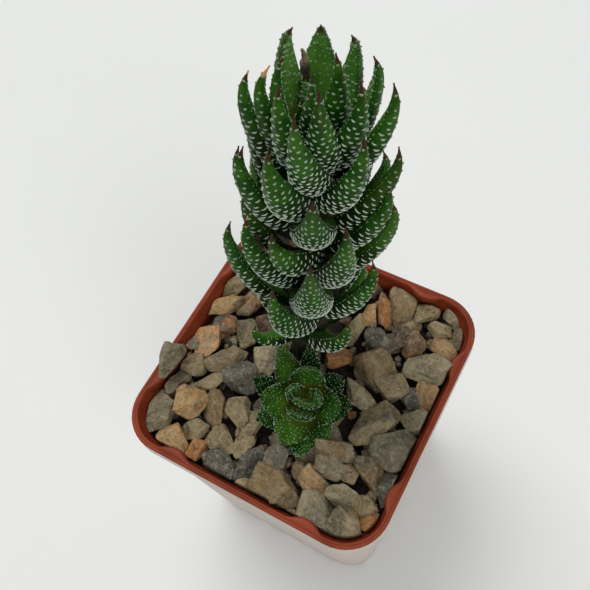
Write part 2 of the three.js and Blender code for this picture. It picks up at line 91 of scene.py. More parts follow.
def add_mesh(name, points, quads, triangles, **attributes):
    """An object with these points (mm) and faces; each attribute is a value or a colour per point."""
    corners = np.concatenate([quads.ravel(), triangles.ravel()]).astype(np.int32)
    starts = np.concatenate([np.arange(len(quads)) * 4, quads.size + np.arange(len(triangles)) * 3])
    mesh = bpy.data.meshes.new(name)
    mesh.vertices.add(len(points))
    mesh.vertices.foreach_set("co", (points * MM).astype(np.float32).ravel())
    mesh.loops.add(len(corners))
    mesh.loops.foreach_set("vertex_index", corners)
    mesh.polygons.add(len(starts))
    mesh.polygons.foreach_set("loop_start", starts.astype(np.int32))
    mesh.update(calc_edges=True)
    for key, values in attributes.items():
        kind, field = ("FLOAT_COLOR", "color") if values.ndim == 2 else ("FLOAT", "value")
        layer = mesh.attributes.new(key, kind, "POINT")
        layer.data.foreach_set(field, values.astype(np.float32).ravel())
    mesh.shade_smooth()
    made = bpy.data.objects.new(name, mesh)
    bpy.context.scene.collection.objects.link(made)
    print(name, len(points), "points,", 2 * len(quads) + len(triangles), "triangles")
    return made


def tube_faces(rows, columns):
    """Faces of rows of points joined round into a tube; the two pole points come after the last row."""
    row, column = np.meshgrid(np.arange(rows - 1), np.arange(columns), indexing="ij")
    beside = (column + 1) % columns
    quads = np.stack([row * columns + column, row * columns + beside,
                      (row + 1) * columns + beside, (row + 1) * columns + column], -1).reshape(-1, 4)
    turn = np.arange(columns)
    following = (turn + 1) % columns
    first, last, top = rows * columns, rows * columns + 1, (rows - 1) * columns
    low = np.stack([np.full(columns, first), following, turn], -1)
    high = np.stack([np.full(columns, last), top + turn, top + following], -1)
    return quads, np.concatenate([low, high])


def join_parts(parts):
    """Several (points, quads, triangles, attributes) as one, with the corner numbers moved along."""
    shift = np.cumsum([0] + [len(part[0]) for part in parts[:-1]])
    points = np.concatenate([part[0] for part in parts])
    quads = np.concatenate([part[1] + offset for part, offset in zip(parts, shift)])
    triangles = np.concatenate([part[2] + offset for part, offset in zip(parts, shift)])
    keys = parts[0][3].keys()
    return points, quads, triangles, {key: np.concatenate([part[3][key] for part in parts]) for key in keys}


def add_joined(name, parts):
    """One object from several parts."""
    points, quads, triangles, values = join_parts(parts)
    return add_mesh(name, points, quads, triangles, **values)


def dress(piece, material, node):
    """Gives a piece its finish, lets it ride on the object, and hides the CAD node it stands for."""
    piece.data.materials.append(material)
    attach(piece, "root")
    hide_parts(node)


# %% [markdown]
# ## The camera
# The camera looks down over the pot's front corner, as in the photograph. Its place, its direction and
# its focal length come from fitting a pinhole camera to the corners of the pot's rim and foot.

# %% Camera
CAMERA_PLACE = (0.0620, -0.0711, 0.3052)
CAMERA_RIGHT = (0.8716, 0.4796, -0.1016)
CAMERA_UP = (-0.3685, 0.7777, 0.5093)
CAMERA_BACK = (0.3233, -0.4065, 0.8545)

camera_data = bpy.data.cameras.new("camera")
camera_data.sensor_width = 36.0
camera_data.lens = 47.46
camera_data.shift_x = -0.0046
camera_data.shift_y = -0.0512
camera_data.clip_start = 0.01
camera = bpy.data.objects.new("camera", camera_data)
bpy.context.scene.collection.objects.link(camera)
placed = Matrix((CAMERA_RIGHT, CAMERA_UP, CAMERA_BACK)).transposed().to_4x4()
placed.translation = CAMERA_PLACE
camera.matrix_world = placed
bpy.context.scene.camera = camera
bpy.context.scene.view_settings.view_transform = "Standard"
print("camera at", CAMERA_PLACE, "lens", camera_data.lens)

# %% [markdown]
# ## Node helpers
# A material is a small machine of nodes. `put` adds one node, and its inputs are either numbers or the
# outputs of nodes before it, so a material reads like a list of steps.

# %% Put a node


def put(tree, kind, inputs=None, **settings):
    """A new node of that kind. inputs maps a socket to a value or to another node's output."""
    made = tree.nodes.new("ShaderNode" + kind)
    for key, value in settings.items():
        setattr(made, key, value)
    for socket, value in (inputs or {}).items():
        if isinstance(value, bpy.types.NodeSocket):
            tree.links.new(value, made.inputs[socket])
        else:
            made.inputs[socket].default_value = value
    return made


def blend_colors(tree, share, first, second, how="MIX"):
    """The output of a Mix node between two colours; share is a number or an output."""
    made = put(tree, "Mix", {0: share, 6: first, 7: second}, data_type="RGBA", blend_type=how)
    return made.outputs[2]


def attribute(tree, key):
    """The number that each point carries under this name."""
    return put(tree, "Attribute", attribute_name=key).outputs["Fac"]


def scaled(tree, key, low, high, top=1.0):
    """A climb from 0 to top while the attribute goes from low to high."""
    made = put(tree, "MapRange", {"Value": attribute(tree, key), "From Min": low, "From Max": high,
                                  "To Max": top}, interpolation_type="SMOOTHSTEP")
    return made.outputs["Result"]


def product(tree, first, second):
    """Two masks multiplied; either may be a number."""
    return put(tree, "Math", {0: first, 1: second}, operation="MULTIPLY").outputs[0]


def new_material(name, **shader_values):
    """A material with a Principled BSDF; constants are set on the shader's own sockets."""
    made = bpy.data.materials.new(name)
    made.use_nodes = True
    shader = made.node_tree.nodes["Principled BSDF"]
    for key, value in shader_values.items():
        shader.inputs[key.replace("_", " ")].default_value = value
    return made, made.node_tree, shader


def plug(tree, shader, **outputs):
    """Joins outputs to the shader's own sockets, such as Base_Color and Normal."""
    for key, output in outputs.items():
        tree.links.new(output, shader.inputs[key.replace("_", " ")])


def color(red, green, blue):
    """A colour from 0-255 screen values to the linear values that nodes use."""
    screen = np.array([red, green, blue]) / 255
    linear = np.where(screen <= 0.04045, screen / 12.92, ((screen + 0.055) / 1.055) ** 2.4)
    return (*(float(value) for value in linear), 1.0)


# %% [markdown]
# ## Two effects that every material shares
# Nothing natural has one even colour, and nothing is quite smooth. `blotches` is a soft cloudy mask
# made from noise, used to mix two colours. `grain` turns fine noise into a bump. Both are node groups,
# built once and placed in each material with its own numbers.

# %% Blotches


def new_group(name, values, result, kind):
    """An empty node group with number inputs and one output; gives the tree, its inputs and its end."""
    tree = bpy.data.node_groups.new(name, "ShaderNodeTree")
    for key, value in values.items():
        tree.interface.new_socket(key, in_out="INPUT", socket_type="NodeSocketFloat").default_value = value
    tree.interface.new_socket(result, in_out="OUTPUT", socket_type=kind)
    return tree, tree.nodes.new("NodeGroupInput").outputs, tree.nodes.new("NodeGroupOutput").inputs[result]


def make_blotches():
    """Noise of a given scale; the mask climbs from 0 to 1 between the values Low and High."""
    tree, given, end = new_group("blotches", {"Scale": 200.0, "Low": 0.4, "High": 0.6}, "Mask",
                                 "NodeSocketFloat")
    place = put(tree, "TexCoord").outputs["Object"]
    noise = put(tree, "TexNoise", {"Vector": place, "Scale": given["Scale"], "Detail": 5.0,
                                   "Roughness": 0.6})
    mask = put(tree, "MapRange", {"Value": noise.outputs["Fac"], "From Min": given["Low"],
                                  "From Max": given["High"]}, interpolation_type="SMOOTHSTEP")
    tree.links.new(mask.outputs["Result"], end)
    return tree


def make_grain():
    """Noise of a given scale raised by a bump of Height metres."""
    tree, given, end = new_group("grain", {"Scale": 1500.0, "Height": 0.0001}, "Normal", "NodeSocketVector")
    place = put(tree, "TexCoord").outputs["Object"]
    noise = put(tree, "TexNoise", {"Vector": place, "Scale": given["Scale"], "Detail": 8.0,
                                   "Roughness": 0.65})
    bump = put(tree, "Bump", {"Height": noise.outputs["Fac"], "Distance": given["Height"], "Strength": 1.0})
    tree.links.new(bump.outputs["Normal"], end)
    return tree


BLOTCHES = make_blotches()
GRAIN = make_grain()


def place_group(tree, group, values, result):
    """A node group placed in a material, with its inputs set; gives the named output."""
    made = put(tree, "Group", node_tree=group)
    for key, value in values.items():
        made.inputs[key].default_value = value
    return made.outputs[result]


def blotches(tree, scale, low, high):
    """A cloudy mask; a low above the high turns it round."""
    return place_group(tree, BLOTCHES, {"Scale": scale, "Low": low, "High": high}, "Mask")


def grain(tree, scale, height):
    """A grainy normal; height is in metres."""
    return place_group(tree, GRAIN, {"Scale": scale, "Height": height}, "Normal")


print("node groups:", [group.name for group in bpy.data.node_groups])

# %% [markdown]
# ## The pot
# The pot is thin red-brown plastic drawn over a square mould. Its outside carries a pale coat, which
# ends at the rim's outer edge. It could be built from a cube with bevels, but a profile carried round a
# rounded square gives the taper, the banded rim and the even wall in one go. Eight lens-shaped lugs
# bulge in from the rim, to keep stacked pots apart; they are a push on the rim's inner points.

# %% Pot sizes
POT_HEIGHT = 90.0
RIM_SIDE = 83.0
BASE_SIDE = 65.0
BAND_HEIGHT = 6.0
BAND_FOOT = POT_HEIGHT - BAND_HEIGHT
WALL_THICKNESS = 1.3
FLOOR_THICKNESS = 2.2
LUG_LENGTH = 9.5
LUG_DEPTH = 2.0
LUG_OFFSET = 21.5
CORNER_STEPS = 10
SIDE_STEPS = 36


def wall_side(z):
    """Width of the square wall at a height: it grows evenly from the foot to the band."""
    return mix(BASE_SIDE, RIM_SIDE - 3.4, z / BAND_FOOT)


def inner_side(z):
    """Width of the pot's inside at a height."""
    return wall_side(z) - 2 * WALL_THICKNESS


def rounded_square(side, corner):
    """Points round a square with round corners: a quarter circle, then a straight run, four times."""
    reach = side / 2 - corner
    bend = np.radians(np.linspace(0, 90, CORNER_STEPS, endpoint=False))
    arc = np.stack([reach + corner * np.cos(bend), reach + corner * np.sin(bend)], -1)
    run = np.linspace(reach, -reach, SIDE_STEPS, endpoint=False)
    straight = np.stack([run, np.full(SIDE_STEPS, side / 2)], -1)
    quarter = np.concatenate([arc, straight])
    turns = [quarter @ np.array([[c, s], [-s, c]]) for c, s in ((1, 0), (0, 1), (-1, 0), (0, -1))]
    return np.concatenate(turns)


def lug_push(ring):
    """How far the rim's inner face comes in at each point: a sine hump on both ends of each side."""
    x, y = np.abs(ring[:, 0]), np.abs(ring[:, 1])
    along = np.minimum(x, y)
    share = ramp(along, LUG_OFFSET - LUG_LENGTH / 2, LUG_OFFSET + LUG_LENGTH / 2)
    on_side = np.maximum(x, y) > ring.max() - 0.05
    return LUG_DEPTH * np.sin(np.pi * share) ** 0.8 * on_side


print("wall", wall_side(0), "mm wide at the foot and", wall_side(BAND_FOOT), "mm under the band")

# %% [markdown]
# The profile is a list of squares, from the middle of the underside out, up the wall, over the rim and
# down the inside to the floor. Close steps make a tight curve, such as the rolled edge of the rim.

# %% Pot profile
WALL_LEVELS = (6, 12, 24, 36, 48, 60, 72, 80, BAND_FOOT - 1.2)
INSIDE_LEVELS = (60, 30, FLOOR_THICKNESS + 1.2)
# Side of the square, corner radius, height, share of the lug's push, share of the pale coat.
POT_PROFILE = [
    (BASE_SIDE - 8.0, 7.4, 0.0, 0, 1), (BASE_SIDE - 1.8, 9.8, 0.0, 0, 1),
    (BASE_SIDE - 0.8, 10.1, 0.15, 0, 1), (BASE_SIDE - 0.2, 10.4, 0.5, 0, 1),
    (BASE_SIDE, 10.5, 0.9, 0, 1),
    *[(wall_side(z), mix(10.5, 12.4, z / BAND_FOOT), z, 0, 1) for z in WALL_LEVELS],
    (wall_side(BAND_FOOT - 0.4) + 0.2, 12.4, BAND_FOOT - 0.5, 0, 1),
    (RIM_SIDE - 1.6, 12.7, BAND_FOOT + 0.1, 0, 1), (RIM_SIDE - 0.5, 12.9, BAND_FOOT + 0.5, 0, 1),
    (RIM_SIDE, 13.0, BAND_FOOT + 1.2, 0, 1), (RIM_SIDE, 13.0, BAND_FOOT + 3, 0, 1),
    (RIM_SIDE, 13.0, POT_HEIGHT - 0.5, 0, 1), (RIM_SIDE - 0.08, 13.0, POT_HEIGHT - 0.38, 0, 0),
    (RIM_SIDE - 0.5, 12.9, POT_HEIGHT - 0.15, 0, 0), (RIM_SIDE - 1.1, 12.7, POT_HEIGHT, 0, 0),
    (RIM_SIDE - 1.9, 12.3, POT_HEIGHT - 0.04, 0, 0), (RIM_SIDE - 2.0, 12.25, POT_HEIGHT - 0.2, 0, 0),
    (RIM_SIDE - 2.15, 12.2, POT_HEIGHT - 0.2, 0, 0), (RIM_SIDE - 2.25, 12.15, POT_HEIGHT - 0.06, 0, 0),
    (RIM_SIDE - 2.95, 11.8, POT_HEIGHT - 0.08, 0.9, 0), (RIM_SIDE - 3.4, 11.6, POT_HEIGHT - 0.3, 1, 0),
    (RIM_SIDE - 3.8, 11.4, POT_HEIGHT - 0.9, 1, 0), (RIM_SIDE - 4.2, 11.3, POT_HEIGHT - 2.0, 1, 0),
    (RIM_SIDE - 5.0, 11.2, POT_HEIGHT - 3.2, 0.25, 0),
    (inner_side(BAND_FOOT - 1), 11.2, POT_HEIGHT - 4.0, 0, 0),
    (inner_side(BAND_FOOT - 1), 11.2, BAND_FOOT - 1, 0, 0),
    *[(inner_side(z), mix(9.2, 11.2, z / BAND_FOOT), z, 0, 0) for z in INSIDE_LEVELS],
    (wall_side(FLOOR_THICKNESS) - 3.6, 8.6, FLOOR_THICKNESS + 0.2, 0, 0),
    (BASE_SIDE - 12.0, 5.4, FLOOR_THICKNESS, 0, 0),
]


def make_pot():
    """The profile carried round the rounded square: point = square(side, corner) pushed in by the lugs."""
    rings, coats = [], []
    for side, corner, height, pushed, coat in POT_PROFILE:
        square = rounded_square(side, corner)
        inward = -square * (np.abs(square) > side / 2 - 0.01) / (side / 2)
        square = square + inward * (pushed * lug_push(square))[:, None]
        rings.append(np.column_stack([square, np.full(len(square), height)]))
        coats.append(np.full(len(square), float(coat)))
    quads, triangles = tube_faces(len(rings), len(rings[0]))
    poles = np.array([[0, 0, 0.0], [0, 0, FLOOR_THICKNESS]])
    points = np.concatenate(rings + [poles])
    coat = np.concatenate(coats + [np.array([1.0, 0.0])])
    return add_mesh("nursery_pot", points, quads, triangles, coat=coat)


pot = make_pot()

# %% [markdown]
# The drain holes are four round drills taken away from the floor with a Boolean. It is applied at once,
# so the drills can be thrown away.

# %% Drain holes
DRAIN_RADIUS = 3.0
DRAIN_OFFSET = 19.0
DRILL_FROM = -3.0
DRILL_TO = 6.0


def cut_drain_holes(pot):
    """Each drill is a tube of two circles with its ends closed."""
    turn = np.radians(np.arange(0, 360, 15))
    circle = DRAIN_RADIUS * np.column_stack([np.cos(turn), np.sin(turn)])
    rims = [np.column_stack([circle, np.full(len(turn), z)]) for z in (DRILL_FROM, DRILL_TO)]
    points = np.concatenate(rims + [np.array([[0, 0, DRILL_FROM], [0, 0, DRILL_TO]])])
    quads, triangles = tube_faces(len(rims), len(turn))
    places = [(x, y, 0) for x in (-DRAIN_OFFSET, DRAIN_OFFSET) for y in (-DRAIN_OFFSET, DRAIN_OFFSET)]
    parts = [(points + place, quads, triangles, {}) for place in places]
    drill = add_mesh("drain_drill", *join_parts(parts)[:3])
    cut = pot.modifiers.new("drain_holes", "BOOLEAN")
    cut.object, cut.operation, cut.solver = drill, "DIFFERENCE", "EXACT"
    ready = pot.evaluated_get(bpy.context.evaluated_depsgraph_get())
    pot.data = bpy.data.meshes.new_from_object(ready)
    pot.modifiers.clear()
    bpy.data.objects.remove(drill)
    print("pot with drain holes:", len(pot.data.vertices), "points")


cut_drain_holes(pot)

# %% [markdown]
# The plastic has a faint cloudiness and a fine grain. The coat is a second colour, switched on by the
# `coat` attribute of the profile, and worn through in specks near the foot, where the pot is rubbed.

# %% Pot finish


def pot_finish():
    """Red-brown plastic under a pale coat; both clouded, with specks rubbed through at the foot."""
    made, tree, shader = new_material("terracotta_plastic", Specular_IOR_Level=0.25)
    clouds = blotches(tree, 90.0, 0.35, 0.65)
    body = blend_colors(tree, clouds, color(146, 62, 34), color(122, 48, 24))
    pale = blend_colors(tree, clouds, color(206, 194, 184), color(202, 190, 179))
    height = put(tree, "SeparateXYZ", {0: put(tree, "TexCoord").outputs["Object"]}).outputs["Z"]
    low = put(tree, "MapRange", {"Value": height, "From Min": 0.003, "From Max": 0.0, "To Max": 0.9})
    specks = product(tree, low.outputs["Result"], blotches(tree, 260.0, 0.5, 0.6))
    kept = put(tree, "Math", {0: attribute(tree, "coat"), 1: specks}, operation="SUBTRACT", use_clamp=True)
    coated = blend_colors(tree, kept.outputs[0], body, pale)
    gloss = put(tree, "MapRange", {"Value": blotches(tree, 400.0, 0.3, 0.7), "To Min": 0.42,
                                   "To Max": 0.55})
    plug(tree, shader, Base_Color=coated, Roughness=gloss.outputs["Result"],
         Normal=grain(tree, 900.0, 0.00006))
    return made


dress(pot, pot_finish(), "pot")
print("pot dressed with", pot.data.materials[0].name)

# %% [markdown]
# ## Soil
# Potting soil fills the pot under the gravel. It is hidden, apart from the drain holes, so the CAD
# block stays and only gets a dark crumbly finish.

# %% Soil finish


def soil_and_gap_shade_finish():
    """Dark brown crumbs: two browns in small blotches, with a rough grain."""
    made, tree, shader = new_material("potting_soil_and_gap_shade", Roughness=0.95)
    crumbs = blend_colors(tree, blotches(tree, 700.0, 0.42, 0.58), color(22, 16, 11), color(50, 35, 23))
    plug(tree, shader, Base_Color=crumbs, Normal=grain(tree, 900.0, 0.0008))
    return made


# Used on the soil and on the grit bed, where its dark browns are also painted shade for the gaps.
SOIL_AND_GAP_SHADE_FINISH = soil_and_gap_shade_finish()
soil_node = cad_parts["soil"]
soil_node.data.materials.clear()
soil_node.data.materials.append(SOIL_AND_GAP_SHADE_FINISH)
print("soil keeps its CAD solid")

# %% [markdown]
# ## One stone
# River gravel is broken rock with its corners worn round. A stone could be a sphere with noise on it,
# but that gives a potato. Here each stone is a ball cut by seven to eleven flat faces: the distance from
# the middle to a face in the direction d is h / (d . n), and the nearest face wins. A soft minimum
# instead of a hard one wears the corners round: r = (sum of (d . n / h) ^ p) ^ (-1 / p). A low p gives a
# pebble, a high p a sharp chip.

# %% Directions and ripples


def on_ball(high, around):
    """Directions at these heights and turns over a ball, both in radians."""
    return np.stack([np.cos(high) * np.cos(around), np.cos(high) * np.sin(around), np.sin(high)], -1)


def ball_grid(rows, columns):
    """Directions over a ball: rows from pole to pole, columns round, then the two poles."""
    up = np.radians(np.linspace(-90, 90, rows + 2)[1:-1])
    turn = np.radians(np.arange(columns) * 360 / columns)
    grid = on_ball(*np.meshgrid(up, turn, indexing="ij"))
    return np.concatenate([grid.reshape(-1, 3), [[0, 0, -1.0], [0, 0, 1.0]]])


def spread_normals(count, rng):
    """Directions spread evenly over a ball on a golden spiral, then jostled."""
    step = np.arange(count) + 0.5
    high = np.arcsin(1 - 2 * step / count)
    around = step * math.pi * (3 - math.sqrt(5))
    normals = on_ball(high, around)
    normals += rng.normal(0, 0.3, normals.shape)
    return normals / np.linalg.norm(normals, axis=1, keepdims=True)


def ripples(places, size, rng, count=7):
    """Smooth bumps between -1 and 1: the mean of a few sine waves in chance directions."""
    ways = rng.normal(0, 1, (count, 3)) / size
    return np.sin(places @ ways.T + rng.uniform(0, 2 * math.pi, count)).mean(axis=1)


print("a ball of 4 rows and 7 columns has", len(ball_grid(4, 7)), "directions")

# %% [markdown]
# After the cut, a second set of faces takes chips off the stone, a few hollows sink into it and two
# sizes of ripples roughen it. Then it is stretched to its three half sizes, tilted, turned and set down.

# %% Stone shape
FEWEST_FACES = 7
MOST_FACES = 11
CHIPS = 14


def stone_points(directions, stone, rng, wear):
    """A ball cut by jostled faces, worn, chipped, stretched to fill a, b and c, turned and set down.

    The second result is near 1 along the edges, where two faces are equally near."""
    normals = spread_normals(rng.integers(FEWEST_FACES, MOST_FACES + 1), rng)
    offsets = rng.uniform(0.62, 1.0, len(normals))
    facing = np.maximum(directions @ normals.T, 0) / offsets
    second, first = np.partition(facing, -2, axis=1)[:, -2:].T
    radius = np.minimum((facing**wear).sum(axis=1) ** (-1 / wear), 1.3)
    chips = spread_normals(CHIPS, rng)
    chipped = np.min(rng.uniform(0.95, 1.3, CHIPS) / np.maximum(directions @ chips.T, 0.05), axis=1)
    radius = mix(radius, np.minimum(radius, chipped), 0.85)
    radius *= 1 - 0.07 * ramp(ripples(directions, 0.5, rng, 4), 0.12, 0.2)
    radius *= 1 + 0.06 * ripples(directions, 0.42, rng) + 0.03 * ripples(directions, 0.12, rng)
    shape = directions * radius[:, None]
    shape *= np.array([stone["a"], stone["b"], stone["c"]]) / np.abs(shape).max(axis=0)
    tilt = np.radians(rng.normal(0, 9, 2))
    shape[:, 2] += shape[:, 0] * math.sin(tilt[0]) + shape[:, 1] * math.sin(tilt[1])
    turn = math.radians(stone["turn"])
    x = shape[:, 0] * math.cos(turn) - shape[:, 1] * math.sin(turn)
    y = shape[:, 0] * math.sin(turn) + shape[:, 1] * math.cos(turn)
    return np.column_stack([x + stone["x"], y + stone["y"], shape[:, 2] + stone["z"]]), second / first


# %% [markdown]
# ## The gravel
# The stones that the photograph shows are placed one by one: middle, length, breadth, direction and
# tone. Between them lie smaller ones, placed by the same rule as in the CAD model, and fine grit.

# %% Stones seen from the front
# x, y, length, breadth, direction of the length, tone.
STONES = [
    (-35, 10, 16, 7, 40, "tan"), (-36, 17, 9, 6, 40, "beige"), (-31, 4, 8, 7, 40, "dark"),
    (-33, -3, 12, 9, 120, "salmon"), (-24, 5, 11, 7, 130, "beige"), (-37, -6, 7, 5, 120, "grey"),
    (-24, -6, 15, 7, 50, "beige"), (-13, -2, 10, 7, 110, "light"), (-32, -12, 9, 8, 60, "beige"),
    (-34, -20, 10, 6, 100, "grey"), (-25, -15, 11, 6, 50, "beige"), (-17, -10, 11, 10, 10, "dark"),
    (-34, -30, 15, 9, 100, "grey"), (-27, -24, 12, 11, 100, "tan"), (-19, -22, 12, 7, 120, "olive"),
    (-12, -19, 11, 9, 110, "beige"), (-7, -21, 11, 6, 90, "beige"), (-21, -30, 8, 6, 20, "beige"),
    (-25, -36, 11, 9, 50, "tan"), (-17, -35, 8, 6, 70, "rust"), (-13, -29, 12, 7, 150, "beige"),
    (-9, -37, 13, 9, 160, "dark"), (-1, -31, 13, 7, 90, "slate"), (-6, -27, 10, 6, 100, "beige"),
    (1, -38, 7, 6, 30, "beige"), (5, -28, 12, 7, 90, "grey"), (9, -35, 16, 12, 150, "olive"),
    (17, -28, 9, 8, 140, "tan"), (13, -27, 7, 4, 140, "tan"), (20, -17, 12, 8, 20, "olive"),
    (19, -22, 10, 7, 0, "grey"), (25, -21, 7, 6, 30, "beige"), (31, -18, 11, 8, 150, "olive"),
    (27, -27, 10, 7, 20, "light"), (34, -27, 9, 6, 20, "beige"), (37, -19, 11, 6, 100, "dark"),
    (23, -36, 14, 10, 150, "light"), (32, -35, 12, 10, 130, "beige"), (37, -31, 8, 7, 10, "rust"),
    (16, -39, 8, 5, 10, "olive"), (16, 35, 14, 8, 110, "olive"), (12, 30, 12, 6, 120, "rust"),
    (9, 26, 9, 5, 110, "tan"), (7, 20, 11, 5, 90, "beige"), (24, 34, 9, 7, 50, "olive"),
    (33, 37, 8, 7, 0, "grey"), (30, 31, 8, 7, 50, "beige"), (20, 23, 10, 6, 70, "slate"),
    (15, 20, 10, 7, 160, "dark"), (25, 23, 9, 7, 90, "rust"), (34, 26, 10, 7, 0, "tan"),
    (37, 32, 8, 6, 60, "grey"), (18, 11, 16, 11, 10, "olive"), (33, 18, 15, 10, 20, "light"),
    (25, 8, 11, 9, 170, "beige"), (18, 1, 13, 6, 150, "light"), (36, 10, 10, 7, 130, "tan"),
    (31, 7, 8, 6, 140, "slate"), (26, -4, 17, 10, 70, "beige"), (36, 1, 10, 8, 170, "grey"),
    (34, -9, 16, 13, 10, "grey"), (6, 10, 9, 7, 60, "rust"),
]
TONES = {
    "grey": (148, 137, 107), "beige": (170, 150, 111), "tan": (204, 164, 109), "salmon": (228, 171, 117),
    "rust": (189, 126, 67), "dark": (103, 98, 84), "light": (184, 170, 134), "olive": (144, 119, 79),
    "slate": (99, 98, 87), "brown": (103, 76, 52),
}
FILL_TONES = ["beige", "grey", "olive", "beige", "slate", "light", "rust", "dark", "grey", "brown"]
print(len(STONES), "stones in", len(TONES), "tones")

# %% [markdown]
# A real bed has no gaps, so smaller stones are tried on a grid with jostled places, and one is left out
# wherever it would meet a stone that lies there already, the pot's wall or the stem.

# %% Place the stones
SOIL_TOP = 80.5
GRAVEL_TOP = 84.0
STEM_FOOT = np.array([-4.9, 9.3, 85.0])
STEM_CLEARANCE = 7
FILL_PITCH = 7.2
FILL_JOSTLE = 2.4
FILL_REACH = 38.5
STONE_CORNERS = 12


def skip_corners(roll):
    """The CAD model rolls for each corner of its stones, so this rolls as often to stay in step."""
    for _ in range(STONE_CORNERS):
        roll()


def placed_stones(roll):
    """The listed stones, each with its height and half sizes by the same rule as in the CAD model."""
    stones = []
    for x, y, length, breadth, turn, tone in STONES:
        height = GRAVEL_TOP + 1 + 0.16 * breadth + 0.8 * roll()
        deep = breadth * mix(0.36, 0.44, roll())
        stones.append({"x": x, "y": y, "z": height, "a": 0.56 * length, "b": 0.57 * breadth, "c": deep,
                       "turn": turn, "tone": tone})
        skip_corners(roll)
    return stones


def filling_stones(roll, listed):
    """Stones on a jostled grid, left out where they meet a stone that already lies there."""
    stones = list(listed)
    for row in range(-5, 6):
        for column in range(-5, 6):
            x = (column + 0.5 * (abs(row) % 2)) * FILL_PITCH + FILL_JOSTLE * (roll() - 0.5)
            y = row * FILL_PITCH + FILL_JOSTLE * (roll() - 0.5)
            size = mix(3.3, 4.6, roll())
            height = GRAVEL_TOP + 0.2 + 0.8 * roll()
            long = size * mix(1, 1.35, roll())
            turn = 180 * roll()
            skip_corners(roll)
            near = [math.hypot(s["x"] - x, s["y"] - y) < 0.72 * (0.47 * (s["a"] + s["b"]) + size)
                    for s in stones]
            if any(near) or max(abs(x), abs(y)) > FILL_REACH:
                continue
            if math.hypot(x - STEM_FOOT[0], y - STEM_FOOT[1]) < STEM_CLEARANCE:
                continue
            stones.append({"x": x, "y": y, "z": height, "a": 1.15 * long, "b": 1.15 * size, "c": size * 0.8,
                           "turn": turn, "tone": None})
    return stones[len(listed):]


roll = dice(19)
listed_stones = placed_stones(roll)
fill_stones = filling_stones(roll, listed_stones)
print(len(listed_stones), "listed stones,", len(fill_stones), "between them")

# %% [markdown]
# Each stone gets a tone from the photograph's range and a second one for its stains. Points that would
# stand in the plastic are pushed back inside the wall, so a stone by the rim leans on it. The listed
# stones make two pieces, since one piece should stay under 200 000 triangles.

# %% Build the stones
LISTED_GRID = (38, 56)


def stone_part(stone, rows, columns, rng):
    """One stone's points and faces, with its two colours and its share of speckle."""
    # worn is near 1 along the edges, where the finish lightens the stone: partly wear, partly painted
    # highlight.
    points, worn = stone_points(ball_grid(rows, columns), stone, rng, rng.uniform(26, 60))
    quads, triangles = tube_faces(rows, columns)
    tone = stone["tone"] or FILL_TONES[rng.integers(len(FILL_TONES))]
    second = FILL_TONES[rng.integers(len(FILL_TONES))]
    tint = np.array(color(*TONES[tone])) * rng.uniform(0.88, 1.12)
    stain = mix(tint, np.array(color(*TONES[second])), 0.7)
    speckle = {"dark": 0.5, "slate": 0.4, "grey": 0.25}.get(tone, 0.1)
    values = {"tint": np.tile(tint, (len(points), 1)), "stain": np.tile(stain, (len(points), 1)),
              "speckle": np.full(len(points), speckle), "worn": worn}
    return points, quads, triangles, values


def keep_in_pot(points, margin=0.4):
    """Points pushed back inside the pot's wall, on a square with rounded corners."""
    half = inner_side(BAND_FOOT - 1) / 2 - margin
    corner = 10.0
    flat = points[:, :2]
    beyond = np.maximum(np.abs(flat) - (half - corner), 0)
    far = np.linalg.norm(beyond, axis=1)
    scale = np.where(far > corner, corner / np.maximum(far, 1e-9), 1.0)
    held = np.sign(flat) * (np.minimum(np.abs(flat), half - corner) + beyond * scale[:, None])
    inside = points[:, 2] < POT_HEIGHT + 0.3
    return np.column_stack([np.where(inside[:, None], held, flat), points[:, 2]])


def gravel_of(stones, grid, rng):
    """The parts of these stones, with every point kept in the pot; grid is their rows and columns."""
    made = [stone_part(stone, *grid, rng) for stone in stones]
    return [(keep_in_pot(points), *rest) for points, *rest in made]


stone_rng = np.random.default_rng(41)
gravel_parts = gravel_of(listed_stones, LISTED_GRID, stone_rng)
half_way = len(gravel_parts) // 2
left_gravel = add_joined("left_gravel", gravel_parts[:half_way])
right_gravel = add_joined("right_gravel", gravel_parts[half_way:])

# %% [markdown]
# Smaller stones lie between the large ones, and coarse grit lies between those. They come from the same
# function with far fewer points, because there are hundreds of them and little of each is seen.

# %% Smaller stones and grit
FILL_GRID = (12, 18)
GRIT_GRID = (4, 7)
GRIT_COUNT = 260
GRIT_REACH = 37.5


def chance_grit(rng, count):
    """Small stones scattered low over the whole bed."""
    grit = []
    for _ in range(count):
        x, y = rng.uniform(-GRIT_REACH, GRIT_REACH, 2)
        size = rng.uniform(1.0, 2.2)
        grit.append({"x": x, "y": y, "z": GRAVEL_TOP + rng.uniform(-0.6, 0.5),
                     "a": size * rng.uniform(1, 1.5), "b": size, "c": size * 0.75,
                     "turn": rng.uniform(0, 180), "tone": None})
    return grit


fill_parts = gravel_of(fill_stones, FILL_GRID, stone_rng)
fill_parts += gravel_of(chance_grit(stone_rng, GRIT_COUNT), GRIT_GRID, stone_rng)
small_gravel = add_joined("small_gravel", fill_parts)

# %% [markdown]
# One long stone was left lying across the left rim. It stands alone against the floor, so it gets the
# finest grid. Its points are held just above the rim and inside the pot's outline.

# %% The long stone on the rim
RIM_GAP = 0.4
RIM_INSET = 0.3
RIM_GRID = (40, 60)
RIM_STONE = {"x": -37.2, "y": -15.6, "z": 93.9, "a": 7.6, "b": 3.9, "c": 3.4, "turn": 100, "tone": "grey"}

rim_rng = np.random.default_rng(8)
rim_points, rim_quads, rim_triangles, rim_values = stone_part(RIM_STONE, *RIM_GRID, rim_rng)
rim_points[:, 0] = np.maximum(rim_points[:, 0], -RIM_SIDE / 2 + RIM_INSET)
rim_points[:, 2] = np.maximum(rim_points[:, 2], POT_HEIGHT + RIM_GAP)
rim_stone = add_mesh("long_stone", rim_points, rim_quads, rim_triangles, **rim_values)
